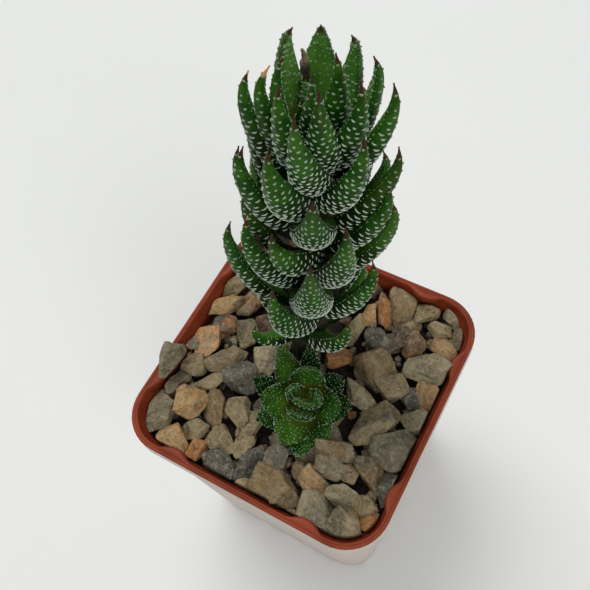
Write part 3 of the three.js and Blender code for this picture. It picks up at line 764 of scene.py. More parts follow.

# %% [markdown]
# Rock has colour at two scales: soft stains a few millimetres wide, and single mineral grains. Both are
# blotches with different scales, laid over the stone's own tint. The edges are lighter, partly wear and
# partly painted highlight. Pits are dark spots of painted shade and are not sunk.

# %% Stone finish


def chipped_normal(tree, scale, slant):
    """Grain, and over it small broken faces: in each Voronoi cell height = slant * (place . chance way)."""
    place = put(tree, "TexCoord").outputs["Object"]
    cells = put(tree, "TexVoronoi", {"Vector": place, "Scale": scale})
    from_middle = put(tree, "VectorMath", {0: place, 1: cells.outputs["Position"]}, operation="SUBTRACT")
    way = put(tree, "VectorMath", {0: cells.outputs["Color"], 1: (0.5, 0.5, 0.5)}, operation="SUBTRACT")
    height = put(tree, "VectorMath", {0: from_middle.outputs[0], 1: way.outputs[0]},
                 operation="DOT_PRODUCT")
    bump = put(tree, "Bump", {"Height": height.outputs["Value"], "Distance": slant, "Strength": 1.0,
                              "Normal": grain(tree, 800.0, 0.0016)})
    return bump.outputs["Normal"]


def stone_finish():
    """The stone's tint with a broad stain of its second colour, clouded, dusted, speckled and pitted.

    Its edges are lighter, partly wear and partly painted highlight, and its pits are dark painted shade.
    """
    made, tree, shader = new_material("river_stone", Roughness=0.85)
    tint = put(tree, "Attribute", attribute_name="tint").outputs["Color"]
    stain = put(tree, "Attribute", attribute_name="stain").outputs["Color"]
    two_tone = blend_colors(tree, blotches(tree, 75.0, 0.52, 0.64), tint, stain)
    cloudy = blend_colors(tree, blotches(tree, 330.0, 0.4, 0.75), two_tone, color(178, 172, 156),
                          "MULTIPLY")
    soft = blend_colors(tree, 0.85, two_tone, cloudy)
    dust = blend_colors(tree, blotches(tree, 800.0, 0.48, 0.7), soft, color(196, 184, 158))
    dusted = blend_colors(tree, 0.45, soft, dust)
    fleck = product(tree, attribute(tree, "speckle"), blotches(tree, 1900.0, 0.56, 0.64))
    flecked = blend_colors(tree, fleck, dusted, color(186, 180, 164))
    # Lighter along the edges: partly wear, partly painted highlight.
    edge = product(tree, scaled(tree, "worn", 0.8, 1.0, 0.3), blotches(tree, 420.0, 0.4, 0.65))
    edged = blend_colors(tree, edge, flecked, color(214, 198, 166))
    # Painted shade: dark spots stand for small pits, which the surface does not have as hollows.
    pit_shade = product(tree, blotches(tree, 1300.0, 0.4, 0.32), 0.7)
    pit_shaded = blend_colors(tree, pit_shade, edged, color(52, 44, 34))
    plug(tree, shader, Base_Color=pit_shaded, Normal=chipped_normal(tree, 240.0, 1.0))
    return made


STONE_FINISH = stone_finish()
for piece in (left_gravel, right_gravel, small_gravel):
    dress(piece, STONE_FINISH, "gravel")
dress(rim_stone, STONE_FINISH, "rim_stone")
print("four pieces dressed with", STONE_FINISH.name)

# %% [markdown]
# ## The bed under the stones
# Between the stones one looks down on grit in the soil's dark browns, which are also painted shade for the
# deep gaps. It is a height field: a grid over the pot's inside, lifted by ripples of two sizes, closed
# below by a flat sheet.

# %% Grit bed
BED_TOP = GRAVEL_TOP - 1.4
BED_FOOT = SOIL_TOP + 0.5
BED_LIFT = 1.6
BOTTOM_SHARES = [0.02, 0.5, 0.98]
TOP_SHARES = np.linspace(1, 0.02, 46)


def make_bed():
    """Top: rings of a rounded square shrinking to the middle, lifted by ripples. Bottom: flat."""
    rng = np.random.default_rng(7)
    shares = np.concatenate([BOTTOM_SHARES, TOP_SHARES])
    outline = rounded_square(wall_side(BAND_FOOT - 1) - 3.6, 10.2)
    flat = shares[:, None, None] * outline[None]
    places = np.concatenate([flat, np.zeros((*flat.shape[:2], 1))], -1).reshape(-1, 3)
    lift = 0.5 * ripples(places, 2.4, rng) + 0.5 * ripples(places, 0.8, rng)
    bottom = np.repeat(np.arange(len(shares)) < len(BOTTOM_SHARES), len(outline))
    places[:, 2] = np.where(bottom, BED_FOOT, BED_TOP + BED_LIFT * lift)
    points = np.concatenate([places, [[0, 0, BED_FOOT], [0, 0, BED_TOP]]])
    quads, triangles = tube_faces(len(shares), len(outline))
    return add_mesh("grit_bed", points, quads, triangles)


bed = make_bed()
# The bed takes the soil's dark browns, which here are also painted shade for the deep gaps between stones.
dress(bed, SOIL_AND_GAP_SHADE_FINISH, "gravel")

# %% [markdown]
# ## A leaf
# Each leaf leaves the stem sideways, bends up until it points along it, and hooks inwards over its last
# fifth. The slope is a formula of s, which runs from 0 at the root to 1 at the tip, so the leaf's
# distance from the axis and its height are running sums of the slope's sine and cosine. Across, the back
# is a tall half ellipse and the inner face a flat one. The width tapers like a horn: 1 - s ^ power, with
# a power of 1.6 on the stem. Leaves at the sides also roll, which shows their backs.
#
# The whole leaf is one function of s and of q, once round. Everything that sits on it, such as a wart,
# asks the same function where its skin is. In the script a leaf is a dictionary. It holds the place of
# the tip (azimuth, height and radius), the way there (length, slope, bend, hook, swing and roll), the
# thickness, and shares that the finish uses.

# %% Axes
# Azimuth 0 of the leaves points this way, in degrees from +X towards +Y.
FRONT_AZIMUTH = -63.3
STEM_LEAN = 6.1
STEM_LEAN_AZIMUTH = 26


def axis_frame(foot, lean, lean_azimuth):
    """A leaning axis: its foot, its up direction, and two directions across it."""
    slant, way = math.radians(lean), math.radians(lean_azimuth)
    up = np.array([math.sin(slant) * math.cos(way), math.sin(slant) * math.sin(way), math.cos(slant)])
    front = math.radians(FRONT_AZIMUTH)
    ahead = np.array([math.cos(front), math.sin(front), 0.0])
    ahead -= up * (ahead @ up)
    ahead /= np.linalg.norm(ahead)
    return np.asarray(foot, float), up, ahead, np.cross(up, ahead)


def around_axis(axes, azimuth):
    """The direction out from the axis at each azimuth, in degrees."""
    angle = np.radians(azimuth)[..., None]
    return np.cos(angle) * axes[2] + np.sin(angle) * axes[3]


STEM_AXES = axis_frame(STEM_FOOT, STEM_LEAN, STEM_LEAN_AZIMUTH)
print("the stem leans along", STEM_AXES[1].round(3))

# %% [markdown]
# The midline comes first. The tip's place is known from the photograph, and the slope at the root is
# not, so it is found by halving: try one, see where the tip lands, and try again.

# %% Midline of a leaf
STEPS = np.linspace(0, 1, 61)
HOOK_START = 0.8


def slope_at(leaf, root_slope, s):
    """Slope from the axis: tip + (root - tip) * (1 - s) ^ bend, less a hook over the last fifth."""
    straightening = (root_slope - leaf["tip_slope"]) * (1 - s) ** leaf["bend"]
    return np.radians(leaf["tip_slope"] + straightening - leaf["hook"] * ramp(s, HOOK_START, 1))


def running_sum(leaf, values):
    """Sum of the values from the root up to each step, by the trapezium rule, times the step's length."""
    pairs = np.cumsum(values[1:] + values[:-1]) / 2
    return np.concatenate([[0], pairs]) * leaf["length"] / (len(STEPS) - 1)


def finish_leaf(leaf):
    """Finds by halving the root slope that takes the tip to its radius, and where the leaf comes out."""
    low, high = leaf["tip_slope"] + 1, 130.0
    for _ in range(40):
        guess = (low + high) / 2
        reach = running_sum(leaf, np.sin(slope_at(leaf, guess, STEPS)))[-1]
        low, high = (guess, high) if reach < leaf["tip_radius"] - leaf["root_radius"] else (low, guess)
    slope = slope_at(leaf, low, STEPS)
    radius = running_sum(leaf, np.sin(slope))
    height = running_sum(leaf, np.cos(slope))
    leaf["slope"] = slope
    leaf["radius"] = radius - radius[-1] + leaf["tip_radius"]
    leaf["height"] = height - height[-1] + leaf["tip_height"]
    leaf["start"] = float(STEPS[np.argmax(leaf["radius"] >= leaf["sunk"])])
    return leaf


# %% [markdown]
# The skin goes round the midline. The half width, the height of the back and the depth of the inner
# face are formulas of s, and q runs once round the cross-section that they make. A low ridge, the keel,
# runs along the middle of the back in the leaf's upper part.

# %% Leaf skin
BACK_SHARE = 0.78


def widths(leaf, s):
    """Half the width, the height of the back and the depth of the inner face, down to a blunt tip."""
    root = ramp(s, 0, 0.3)
    plump = 1 - np.minimum(s, 1) ** 2.9
    half = leaf["width"] / 2 * (1 - np.minimum(s, 1) ** leaf["power"]) * mix(0.85, 1, root)
    back = leaf["thick"] * BACK_SHARE * plump * mix(0.8, 1, root)
    inner = leaf["thick"] * (1 - BACK_SHARE) * plump
    return np.maximum(half, 0.16), np.maximum(back, 0.2), np.maximum(inner, 0.1)


def leaf_frame(axes, leaf, s):
    """The midline's points at s, with the directions to the side and out of the back."""
    slope, radius, height = (np.interp(s, STEPS, leaf[key])[..., None]
                             for key in ("slope", "radius", "height"))
    out = around_axis(axes, leaf["azimuth"] + leaf["swing"] * (1 - s) ** 1.3)
    level = np.cross(axes[1], out)
    back = out * np.cos(slope) - axes[1] * np.sin(slope)
    rolled = np.radians(leaf["roll"]) * np.minimum(1, 2.5 * (1 - s))[..., None]
    side = level * np.cos(rolled) - back * np.sin(rolled)
    face = back * np.cos(rolled) + level * np.sin(rolled)
    return axes[0] + out * radius + axes[1] * height, side, face


def leaf_skin(axes, leaf, s, q):
    """Points on a leaf. q from -1 to 1 crosses the back, and from 1 to 3 comes back over the inner face."""
    s = np.clip(s, 0, 1)
    centre, side, face = leaf_frame(axes, leaf, s)
    half, back, inner = widths(leaf, s)
    angle = np.radians(90 * np.where(q <= 1, q, 2 - q))
    bulge = np.maximum(np.cos(angle), 0)
    keel = leaf["keel"] * np.exp(-((q / 0.15) ** 2)) * ramp(s, 0.4, 0.75) * ramp(s, 1, 0.9)
    lift = np.where(q <= 1, back * bulge**0.75 + keel, -inner * bulge)
    return centre + side * (half * np.sin(angle))[..., None] + face * lift[..., None]


def leaf_part(axes, leaf, rows, columns, chance):
    """One leaf's closed skin, with rows closer together towards the tip."""
    step = 1 - (1 - np.linspace(0, 1, rows)) ** 1.4
    s, q = np.meshgrid(mix(leaf["start"], 0.998, step), -1 + 4 * np.arange(columns) / columns,
                       indexing="ij")
    ends = np.array([leaf["start"], 1.0])
    points = np.concatenate([leaf_skin(axes, leaf, s, q).reshape(-1, 3), leaf_frame(axes, leaf, ends)[0]])
    quads, triangles = tube_faces(rows, columns)
    inner = np.where(q > 1, leaf["fresh"] * np.sin(np.pi * (q - 1) / 2), 0)
    keel = np.where(q <= 1, np.exp(-((q / 0.2) ** 2)), 0)
    values = {"along": np.append(s.ravel(), ends), "inner": np.append(inner.ravel(), [0, 0]),
              "keel": np.append(keel.ravel(), [0, 0]), "chance": np.full(len(points), chance)}
    for key in ("dry", "young", "shade", "red_tip"):
        values[key] = np.full(len(points), leaf[key])
    return points, quads, triangles, values


# %% [markdown]
# ## The stem's leaves
# The leaves that face the front corner are placed one by one, by the azimuth, height and radius of their
# tips on the leaning axis. Behind, they follow the rule of the plant: each new leaf stands 138.46
# degrees further round and a little higher.

# %% Leaves of the main stem
STEM_RADIUS = 4.4
CORE_RADIUS = 9.0
SPIRAL_STEP = 138.46
RISE_PER_LEAF = 1.77
HIDDEN_FROM = 112
HIDDEN_WIDTH = 11.4
LOWEST_TIP = 24
SPIRAL_NUMBERS = range(-34, 16)
LEAF_GRID = (44, 28)
# Azimuth, height and radius of the tip, swing, slope at the tip, width, length, bend and roll. Some rows
# go on with the hook, how much of the tip is dry straw, and how deep the leaf lies in shade.
FRONT_LEAVES = [
    (1, 79.5, 17.5, 6, 4, 12.6, 41, 1.5, 0), (1, 102.5, 17.5, 4, 4, 11.8, 31, 1.2, 0),
    (-26, 88, 17.5, 26, 4, 11, 28, 1.2, 36), (24, 92, 17.5, 4, 4, 11.6, 41, 1.5, -15),
    (-27, 64, 17.5, 22, 4, 12, 37, 1.5, 20), (-28, 113.5, 16.5, 16, 4, 12, 34, 1.1, 20),
    (32, 117.5, 16.5, -10, 4, 10, 37, 1.2, -15), (-12, 123.5, 15.5, 18, 4, 10.2, 36, 1.2, 5),
    (3, 127, 12.5, 16, 4, 10, 34, 1.1, 0), (-4, 124, 6.5, 0, 0, 6, 26, 1, 0),
    (-60, 124.5, 6.5, 8, -2, 7, 30, 1, 0), (-28, 126, 12.5, 12, 4, 9.4, 33, 1, 10),
    (37, 126.5, 12.5, 2, 4, 9.5, 34, 1, -10), (42, 126.5, 5, 4, 2, 9.8, 31, 1, 0),
    (176, 119, 11, 0, 2, 15, 32, 1, 0), (-130, 125, 5.5, 4, -4, 9.5, 31, 1, 0),
    (135, 121, 9, 0, -4, 9, 31, 1, 0), (100, 120.5, 10.5, -6, 0, 8, 32, 1, 0),
    (72, 120.5, 14.5, -12, 8, 9.4, 36, 1, -15), (-68, 122.5, 8.5, 12, 4, 8.5, 33, 1, 10, 40, 0.08),
    (-80, 120, 12, 12, 2, 8.5, 33, 1, 10, 20, 0.03), (70, 105, 17.5, -20, 12, 9.8, 38, 1, -25),
    (100, 93, 15, -8, 4, 9, 36, 1, 0), (62, 96.5, 17, -12, 4, 10, 36, 1, -15),
    (78, 83.5, 18, -14, 4, 9.8, 36, 1, -10), (60, 66.5, 17, -16, 6, 10.4, 38, 1.2, -20),
    (42, 40.5, 15.5, -14, 4, 10, 28, 1.2, -28), (-62, 27.5, 16, 12, 4, 8, 17.5, 1.2, 36),
    (-50, 87, 17, 16, 5, 10.8, 41, 1.1, 12, 20, 0.03), (-76, 75, 18.5, 18, 6, 10.4, 43, 1.1, 10),
    (-62, 105, 15, 20, 2, 9.8, 35, 1, 10), (-80, 99.5, 15, 14, 0, 8, 34, 1, 0, 8),
    (-112, 90, 12.5, 0, 2, 9, 34, 1, 0), (-68, 91, 13.8, 16, 4, 10, 36, 1.1, 10, 20, 0, 0.4),
    (75, 115, 3.5, 0, 2, 6.5, 24, 1, 0), (-150, 114, 3.5, 0, 2, 6.5, 24, 1, 0),
    (-45, 113, 3, 0, 2, 6, 22, 1, 0),
]
# Azimuth, height and radius of the tips of shorter leaves that fill gaps in the hidden back.
BACK_LEAVES = [
    (106, 44, 14), (-107, 44, 14), (-128, 44, 14), (130, 46, 14), (112, 58, 14), (157, 60, 14),
    (-110, 66, 14), (-149, 66, 14), (106, 72, 14), (124, 92, 13.5), (-164, 106, 11.8), (-107, 106, 11.8),
]


def core_radius(height):
    """Radius of the stem with the leaf roots packed round it: thin at the soil, thick in the middle."""
    return mix(STEM_RADIUS, CORE_RADIUS, ramp(height, 4, 34) * ramp(height, 112, 84))


def stem_leaf(azimuth, tip_height, tip_radius, swing, tip_slope, width, length, bend, roll, hook=20, dry=0,
              shade=0):
    """A leaf of the main stem; the nearer its tip stands to the axis, the younger it is."""
    aside, young = float(ramp(abs(azimuth), 25, 60)), float(ramp(tip_radius, 15, 7))
    return finish_leaf({
        "azimuth": azimuth, "swing": swing, "tip_height": tip_height, "tip_radius": tip_radius,
        "root_radius": min(2.5, tip_radius - 4),
        "sunk": min(float(core_radius(tip_height - 20)) - 2.5, tip_radius - 4), "length": length,
        "tip_slope": tip_slope, "bend": bend, "roll": roll, "hook": hook, "width": width,
        "thick": 0.53 * width, "power": 1.6, "keel": 0.3, "dry": dry, "red_tip": 1.0,
        "fresh": 1.0, "pitch": mix(1.65, 2.5, aside * (1 - young)), "young": young, "shade": shade,
        "bar": mix(0.35, 0.46, aside) - 0.08 * young,
    })


def stem_leaves():
    """The listed leaves, those of the hidden back by the spiral rule, and those in its gaps."""
    roll = dice(71)
    leaves = [stem_leaf(*row) for row in FRONT_LEAVES]
    for n in SPIRAL_NUMBERS:
        azimuth = (n * SPIRAL_STEP + 180) % 360 - 180
        jitter = [roll() - 0.5, roll() - 0.5, roll() - 0.5]
        height = 80 + RISE_PER_LEAF * n + 4 * jitter[0]
        if abs(azimuth) < HIDDEN_FROM or height < LOWEST_TIP:
            continue
        radius = float(16.2 - 4 * ramp(height, 92, 112) - 2.5 * ramp(height, 60, 30)) + jitter[1]
        length = float(mix(34, 24, ramp(height, 60, 26)))
        leaves.append(stem_leaf(azimuth + 8 * jitter[2], height, radius, 12 * jitter[1], 4, HIDDEN_WIDTH,
                                length, 1, 0))
    leaves += [stem_leaf(*tip, 0, 4, HIDDEN_WIDTH, 28, 1, 0) for tip in BACK_LEAVES]
    return leaves


def leaf_skins(axes, leaves, grid, rng):
    """One part per leaf, each with its own chance number, which the finish turns into a tan."""
    chances = rng.uniform(0, 1, len(leaves))
    return [leaf_part(axes, leaf, *grid, chance) for leaf, chance in zip(leaves, chances)]


STEM_LEAVES = stem_leaves()
leaf_rng = np.random.default_rng(3)
stem_skin = add_joined("stem_leaves", leaf_skins(STEM_AXES, STEM_LEAVES, LEAF_GRID, leaf_rng))

# %% [markdown]
# Between the roots of the leaves one glimpses the stem, wrapped in the dried bases of old leaves. It is
# a tube round the same leaning axis, wrinkled by ripples that are drawn out along it.

# %% The stem itself
STEM_LENGTH = 106.0
STEM_ROOT_LENGTH = 12.0


def make_core():
    """A tube round the leaning axis, radius core_radius, wrinkled by ripples drawn out along the axis."""
    heights = np.concatenate([np.linspace(-STEM_ROOT_LENGTH, 100, 160), [102, 104, 105.5]])
    around = np.arange(120) * 3.0
    rng = np.random.default_rng(15)
    angle, level = np.meshgrid(np.radians(around), heights)
    places = np.stack([9 * np.cos(angle), 9 * np.sin(angle), level / 5], -1).reshape(-1, 3)
    creases = ripples(places, 1.6, rng) + 0.6 * ripples(places, 0.6, rng)
    radii = core_radius(heights)[:, None] - 0.5 + 0.9 * creases.reshape(angle.shape)
    radii = np.maximum(radii, 1) * np.sqrt(ramp(heights, 107, 99))[:, None]
    out = around_axis(STEM_AXES, around)
    ring = out[None] * radii[:, :, None] + STEM_AXES[1] * heights[:, None, None]
    poles = STEM_AXES[1] * np.array([[-STEM_ROOT_LENGTH], [STEM_LENGTH]])
    points = STEM_AXES[0] + np.concatenate([ring.reshape(-1, 3), poles])
    quads, triangles = tube_faces(len(heights), len(around))
    return add_mesh("stem", points, quads, triangles)


stem_core = make_core()

# %% [markdown]
# ## Warts
# The warts are small raised beads: long white bars that nearly meet in rows low on the leaf, and round
# greener dots near its tip. They could be displaced out of the skin, but that needs a mesh fine enough
# for half a millimetre everywhere. Instead each is a bead of 32 triangles, half sunk in the skin, and
# its three half sizes lie along the row, along the leaf and out of it.

# %% Beads on a leaf
BEAD_TURN = np.radians(np.arange(8) * 45)
# A round bead of half size 1: its foot, its shoulder, a point below and a point on top.
BEAD = np.concatenate([
    np.column_stack([np.cos(BEAD_TURN), np.sin(BEAD_TURN), np.zeros(8)]),
    np.column_stack([0.66 * np.cos(BEAD_TURN), 0.66 * np.sin(BEAD_TURN), np.full(8, 0.72)]),
    [[0, 0, -0.7], [0, 0, 1.0]],
])
BEAD_QUADS, BEAD_TRIANGLES = tube_faces(2, 8)
print("a bead has", 2 * len(BEAD_QUADS) + len(BEAD_TRIANGLES), "triangles")


def bead_part(axes, leaf, s, q, sizes, white):
    """Beads at (s, q) on a leaf. sizes holds each bead's half size across, along and outwards."""
    tiny = 1e-3
    centre = leaf_skin(axes, leaf, s, q)
    along = leaf_skin(axes, leaf, s + tiny, q) - leaf_skin(axes, leaf, s - tiny, q)
    across = leaf_skin(axes, leaf, s, q + tiny) - leaf_skin(axes, leaf, s, q - tiny)
    along /= np.linalg.norm(along, axis=1, keepdims=True)
    out = np.cross(across, along)
    out /= np.linalg.norm(out, axis=1, keepdims=True)
    across = np.cross(along, out)
    legs = np.stack([across, along, out], 1) * sizes[:, :, None]
    curved = 0.35 * sizes[:, None, :1] * BEAD[:, :1] ** 2 * along[:, None]
    points = (centre[:, None] + np.einsum("kp,npc->nkc", BEAD, legs) + curved).reshape(-1, 3)
    shift = (np.arange(len(s)) * len(BEAD))[:, None, None]
    quads = (BEAD_QUADS[None] + shift).reshape(-1, 4)
    triangles = (BEAD_TRIANGLES[None] + shift).reshape(-1, 3)
    return points, quads, triangles, {"white": np.repeat(white, len(BEAD))}


# %% [markdown]
# The beads stand in three groups: rows across the back, teeth down both edges, and small dots on the
# inner face. Each group is worked out as places (s, q) and sizes, and the skin function does the rest.

# %% Rows of warts


def back_rows(leaf, rng, top=0.93, bottom=0.26):
    """Rows across the back: every second row is shifted by half a wart, and rows crowd low down."""
    s_list, q_list, size_list = [], [], []
    s, odd = top, 0
    while s > max(bottom, leaf["start"] + 0.04):
        half, back, _ = widths(leaf, np.array(s))
        arc = math.pi * math.sqrt((half**2 + back**2) / 2)
        low = 1 - float(ramp(s, 0.4, 0.85))
        pitch = mix(min(leaf["pitch"], 1.6), leaf["pitch"], low)
        count = max(2, round(arc / pitch))
        q = -1 + 2 * (np.arange(count - odd) + 0.5 + 0.5 * odd) / count
        q_list.append(q + rng.normal(0, 0.08 / count, len(q)))
        s_list.append(np.full(len(q), s) + rng.normal(0, 0.11, len(q)) / leaf["length"])
        small = float(mix(0.8, 1, ramp(s, 0.25, 0.45)))
        across = small * pitch * mix(0.25, leaf["bar"], low) * rng.uniform(0.72, 1.12, len(q))
        along = small * mix(0.26, 0.2, low) * rng.uniform(0.85, 1.15, len(q))
        rise = mix(0.22, 0.18, low) * np.ones(len(q))
        size_list.append(np.stack([across, along, rise], -1))
        s -= mix(1.4, 1.25, low) / leaf["length"]
        odd = 1 - odd
    return np.concatenate(s_list), np.concatenate(q_list), np.concatenate(size_list)


def edge_rows(leaf, rng, step, size):
    """Small teeth down both edges of the leaf, smaller towards the tip."""
    run = np.arange(max(0.3, leaf["start"] + 0.03), 0.965, step / leaf["length"])
    s = np.concatenate([run, run]) + rng.normal(0, 0.28, 2 * len(run)) / leaf["length"]
    q = np.concatenate([np.full(len(run), -0.985), np.full(len(run), 0.985)])
    scale = size * mix(1.0, 0.6, ramp(s, 0.6, 0.96)) * rng.uniform(0.5, 1.25, len(s))
    return s, q, np.stack([0.8 * scale, 0.9 * scale, scale], -1)


def inner_rows(leaf, rng, pitch, gap, size):
    """Small dots in staggered rows over the inner face; gap is their distance as a share of q."""
    s, q = np.meshgrid(np.arange(0.4, 0.94, pitch / leaf["length"]), np.arange(-0.8, 0.81, gap),
                       indexing="ij")
    q = q + gap / 2 * (np.arange(len(q)) % 2)[:, None]
    kept = rng.uniform(0, 1, s.size) < 0.8
    s = (s.ravel() + rng.normal(0, 0.3, s.size) / leaf["length"])[kept]
    q = (q.ravel() + rng.normal(0, 0.05, q.size))[kept]
    return s, 2 + q, size * np.array([1.3, 0.9, 0.6]) * rng.uniform(0.6, 1.25, (len(s), 1))


def warts_of(axes, leaf, rng, dot, kind):
    """All warts of one leaf: whitest low on its back, greener at its tip and on its inner face."""
    groups = [
        back_rows(leaf, rng),
        edge_rows(leaf, rng, kind["tooth_step"], kind["tooth"]),
        inner_rows(leaf, rng, kind["dot_pitch"], kind["dot_gap"], dot),
    ]
    s, q, sizes = (np.concatenate(group) for group in zip(*groups))
    chance = rng.uniform(0.75, 1.0, len(s))
    white = mix(1.0, 0.3, ramp(s, 0.5, 0.9)) * chance * (1 - 0.45 * leaf["young"])
    white = np.where(np.abs(q) > 0.98, kind["edge_white"] * np.maximum(white, 0.5 * chance), white)
    white = np.where(q > 1.05, kind["inner_white"] * chance, white)
    return bead_part(axes, leaf, s, q, sizes, white)


# %% [markdown]
# The warts of the stem make three pieces by the height of their leaf's tip, so that each piece stays
# small enough to handle.

# %% Warts of the stem
STEM_WARTS = {"tooth": 0.19, "tooth_step": 1.25, "dot_pitch": 1.45, "dot_gap": 0.27,
              "inner_white": 0.3, "edge_white": 0.6}
WART_PIECES = (("low_warts", 0, 75), ("middle_warts", 75, 105), ("top_warts", 105, math.inf))

wart_rng = np.random.default_rng(12)
wart_parts = [warts_of(STEM_AXES, leaf, wart_rng, mix(0.15, 0.32, leaf["young"]), STEM_WARTS)
              for leaf in STEM_LEAVES]
by_height = np.array([leaf["tip_height"] for leaf in STEM_LEAVES])
wart_pieces = []
for name, low, high in WART_PIECES:
    chosen = [part for part, height in zip(wart_parts, by_height) if low <= height < high]
    wart_pieces.append(add_joined(name, chosen))

# %% [markdown]
# ## Dried scraps
# Old flower stalks and leaves dry to brown crumpled scraps that stay between the green ones. The stump
# of a stalk stands among the young leaves, and two dead leaves are caught lower down. Each is a short
# tube along a line of points, flattened, with its radius crumpled by ripples.

# %% Scraps
# For each: azimuth, radius and height of three points on its line, its half width and its flatness.
SCRAPS = [
    ((-170, 8.4, 106), (-167, 9.4, 111), (-163, 9.0, 115.2), 0.85, 0.9),
    ((-36, 12.0, 78.5), (-18, 14.5, 80), (-2, 12.0, 79), 1.1, 0.5),
    ((-56, 14.0, 76.5), (-46, 16.5, 74), (-36, 14.5, 71), 1.0, 0.5),
]


def scrap_part(first, second, third, half, flat, rng):
    """A tube along a curve through three points; its radius swells, closes at the ends and crumples."""
    corners = np.array([around_axis(STEM_AXES, np.array(az)) * r + STEM_AXES[1] * h
                        for az, r, h in (first, second, third)]) + STEM_AXES[0]
    t = np.linspace(0, 1, 40)[:, None]
    line = corners[0] * (1 - t) ** 2 + 2 * corners[1] * t * (1 - t) + corners[2] * t**2
    ahead = np.gradient(line, axis=0)
    ahead /= np.linalg.norm(ahead, axis=1, keepdims=True)
    side = np.cross(ahead, STEM_AXES[2])
    side /= np.linalg.norm(side, axis=1, keepdims=True)
    face = np.cross(side, ahead)
    turn = np.radians(np.arange(0, 360, 12))
    spread = half * (np.sin(np.pi * (0.06 + 0.9 * t)) ** 0.5)
    oval = side[:, None] * np.cos(turn)[:, None] + flat * face[:, None] * np.sin(turn)[:, None]
    ring = spread[:, :, None] * oval
    places = line[:, None] + ring
    crumple = ripples(places.reshape(-1, 3), 0.7, rng, 5).reshape(ring.shape[:2])
    points = np.concatenate([(line[:, None] + ring * (1 + 0.75 * crumple[:, :, None])).reshape(-1, 3),
                             line[[0, -1]]])
    quads, triangles = tube_faces(len(t), len(turn))
    # The share that darkens the scrap towards its root end.
    darker_root_end = np.append(np.repeat(1 - t[:, 0], len(turn)), [1.0, 0.0])
    return points, quads, triangles, {"darker_root_end": darker_root_end}


scrap_rng = np.random.default_rng(23)
scraps = add_joined("dried_scraps", [scrap_part(*scrap, scrap_rng) for scrap in SCRAPS])

# %% [markdown]
# ## The young rosette
# The offset at the foot is the same plant seen from above: short broad leaves, spread flat, with their
# inner faces up. The leaf function is the same. The two longest leaves are pointed and the others blunt,
# and the higher ones in front curl up at the tip. The lowest lie in the shade of the others.

# %% Rosette
OFFSET_AXES = axis_frame((4, -8, 86.5), 22, -52)
ROSETTE_GRID = (30, 24)
ROSETTE_WARTS = {"tooth": 0.25, "tooth_step": 0.85, "dot_pitch": 0.95, "dot_gap": 0.17,
                 "inner_white": 0.36, "edge_white": 0.9}
ROSETTE_DOT = 0.16
# Azimuth, height and radius of the tip, swing, length, width.
OFFSET_LEAVES = [
    (-157, 9.5, 18.5, 14, 20, 11.5), (170, 13, 10, 0, 13.5, 11), (-97, 12, 12, 14, 14, 11.5),
    (85, 12, 10.5, -8, 13.5, 11.5), (-26, 11.5, 12.4, 0, 14, 12.5), (-114, 6.5, 16.2, 14, 17.5, 9.5),
    (123, 7, 13.7, 0, 15, 10.5), (88, 8, 14, -14, 15, 11), (-69, 8.5, 14.4, 12, 15.5, 10.5),
    (-4, 9, 15.4, 4, 16, 12), (32, 9, 12.6, 0, 14, 10.5), (176, 6, 18.2, -12, 19, 9),
    (-15, 13.5, 3.6, 0, 9, 8.6), (-138, 13.5, 5.4, 0, 9, 6), (115, 13.5, 4.5, 0, 9, 6),
    (-20, 13.8, -0.6, 0, 10, 8),
]


def offset_leaf(azimuth, tip_height, tip_radius, swing, length, width):
    """A leaf of the rosette; its slope at the tip is 30 degrees, or 5 for the inner leaves."""
    pointed = length > 18
    curled = abs(azimuth) < 120 and tip_height > 9.4
    return finish_leaf({
        "azimuth": azimuth, "swing": swing, "tip_height": tip_height, "tip_radius": tip_radius,
        "root_radius": 1.2, "sunk": 1.4, "length": length, "tip_slope": 30 if tip_radius > 10 else 5,
        "bend": 1, "roll": 0, "hook": 24 if curled else 4, "width": 1.06 * width, "thick": 3.0,
        "power": 1.5 if pointed else 2.5, "keel": 0.0, "dry": 0, "red_tip": 0.15,
        "young": float(ramp(tip_radius, 19, 6)), "fresh": 0.22, "pitch": 1.3, "bar": 0.4,
        "shade": 0.75 * float(ramp(tip_height, 9.4, 8)),
    })


ROSETTE_LEAVES = [offset_leaf(*row) for row in OFFSET_LEAVES]
rosette = add_joined("rosette_leaves", leaf_skins(OFFSET_AXES, ROSETTE_LEAVES, ROSETTE_GRID, leaf_rng))
rosette_warts = [warts_of(OFFSET_AXES, leaf, wart_rng, ROSETTE_DOT, ROSETTE_WARTS)
                 for leaf in ROSETTE_LEAVES]
rosette_beads = add_joined("rosette_warts", rosette_warts)

# %% [markdown]
# ## Leaf finish
# The skin is waxy: dark green on the back, nearly black green where little light falls, a fresher green
# on the inner face, and red-brown and dry at the very tip. A little light passes through it, which
# Subsurface gives. The attributes of the mesh say where each of these colours belongs.

# %% Leaf finish


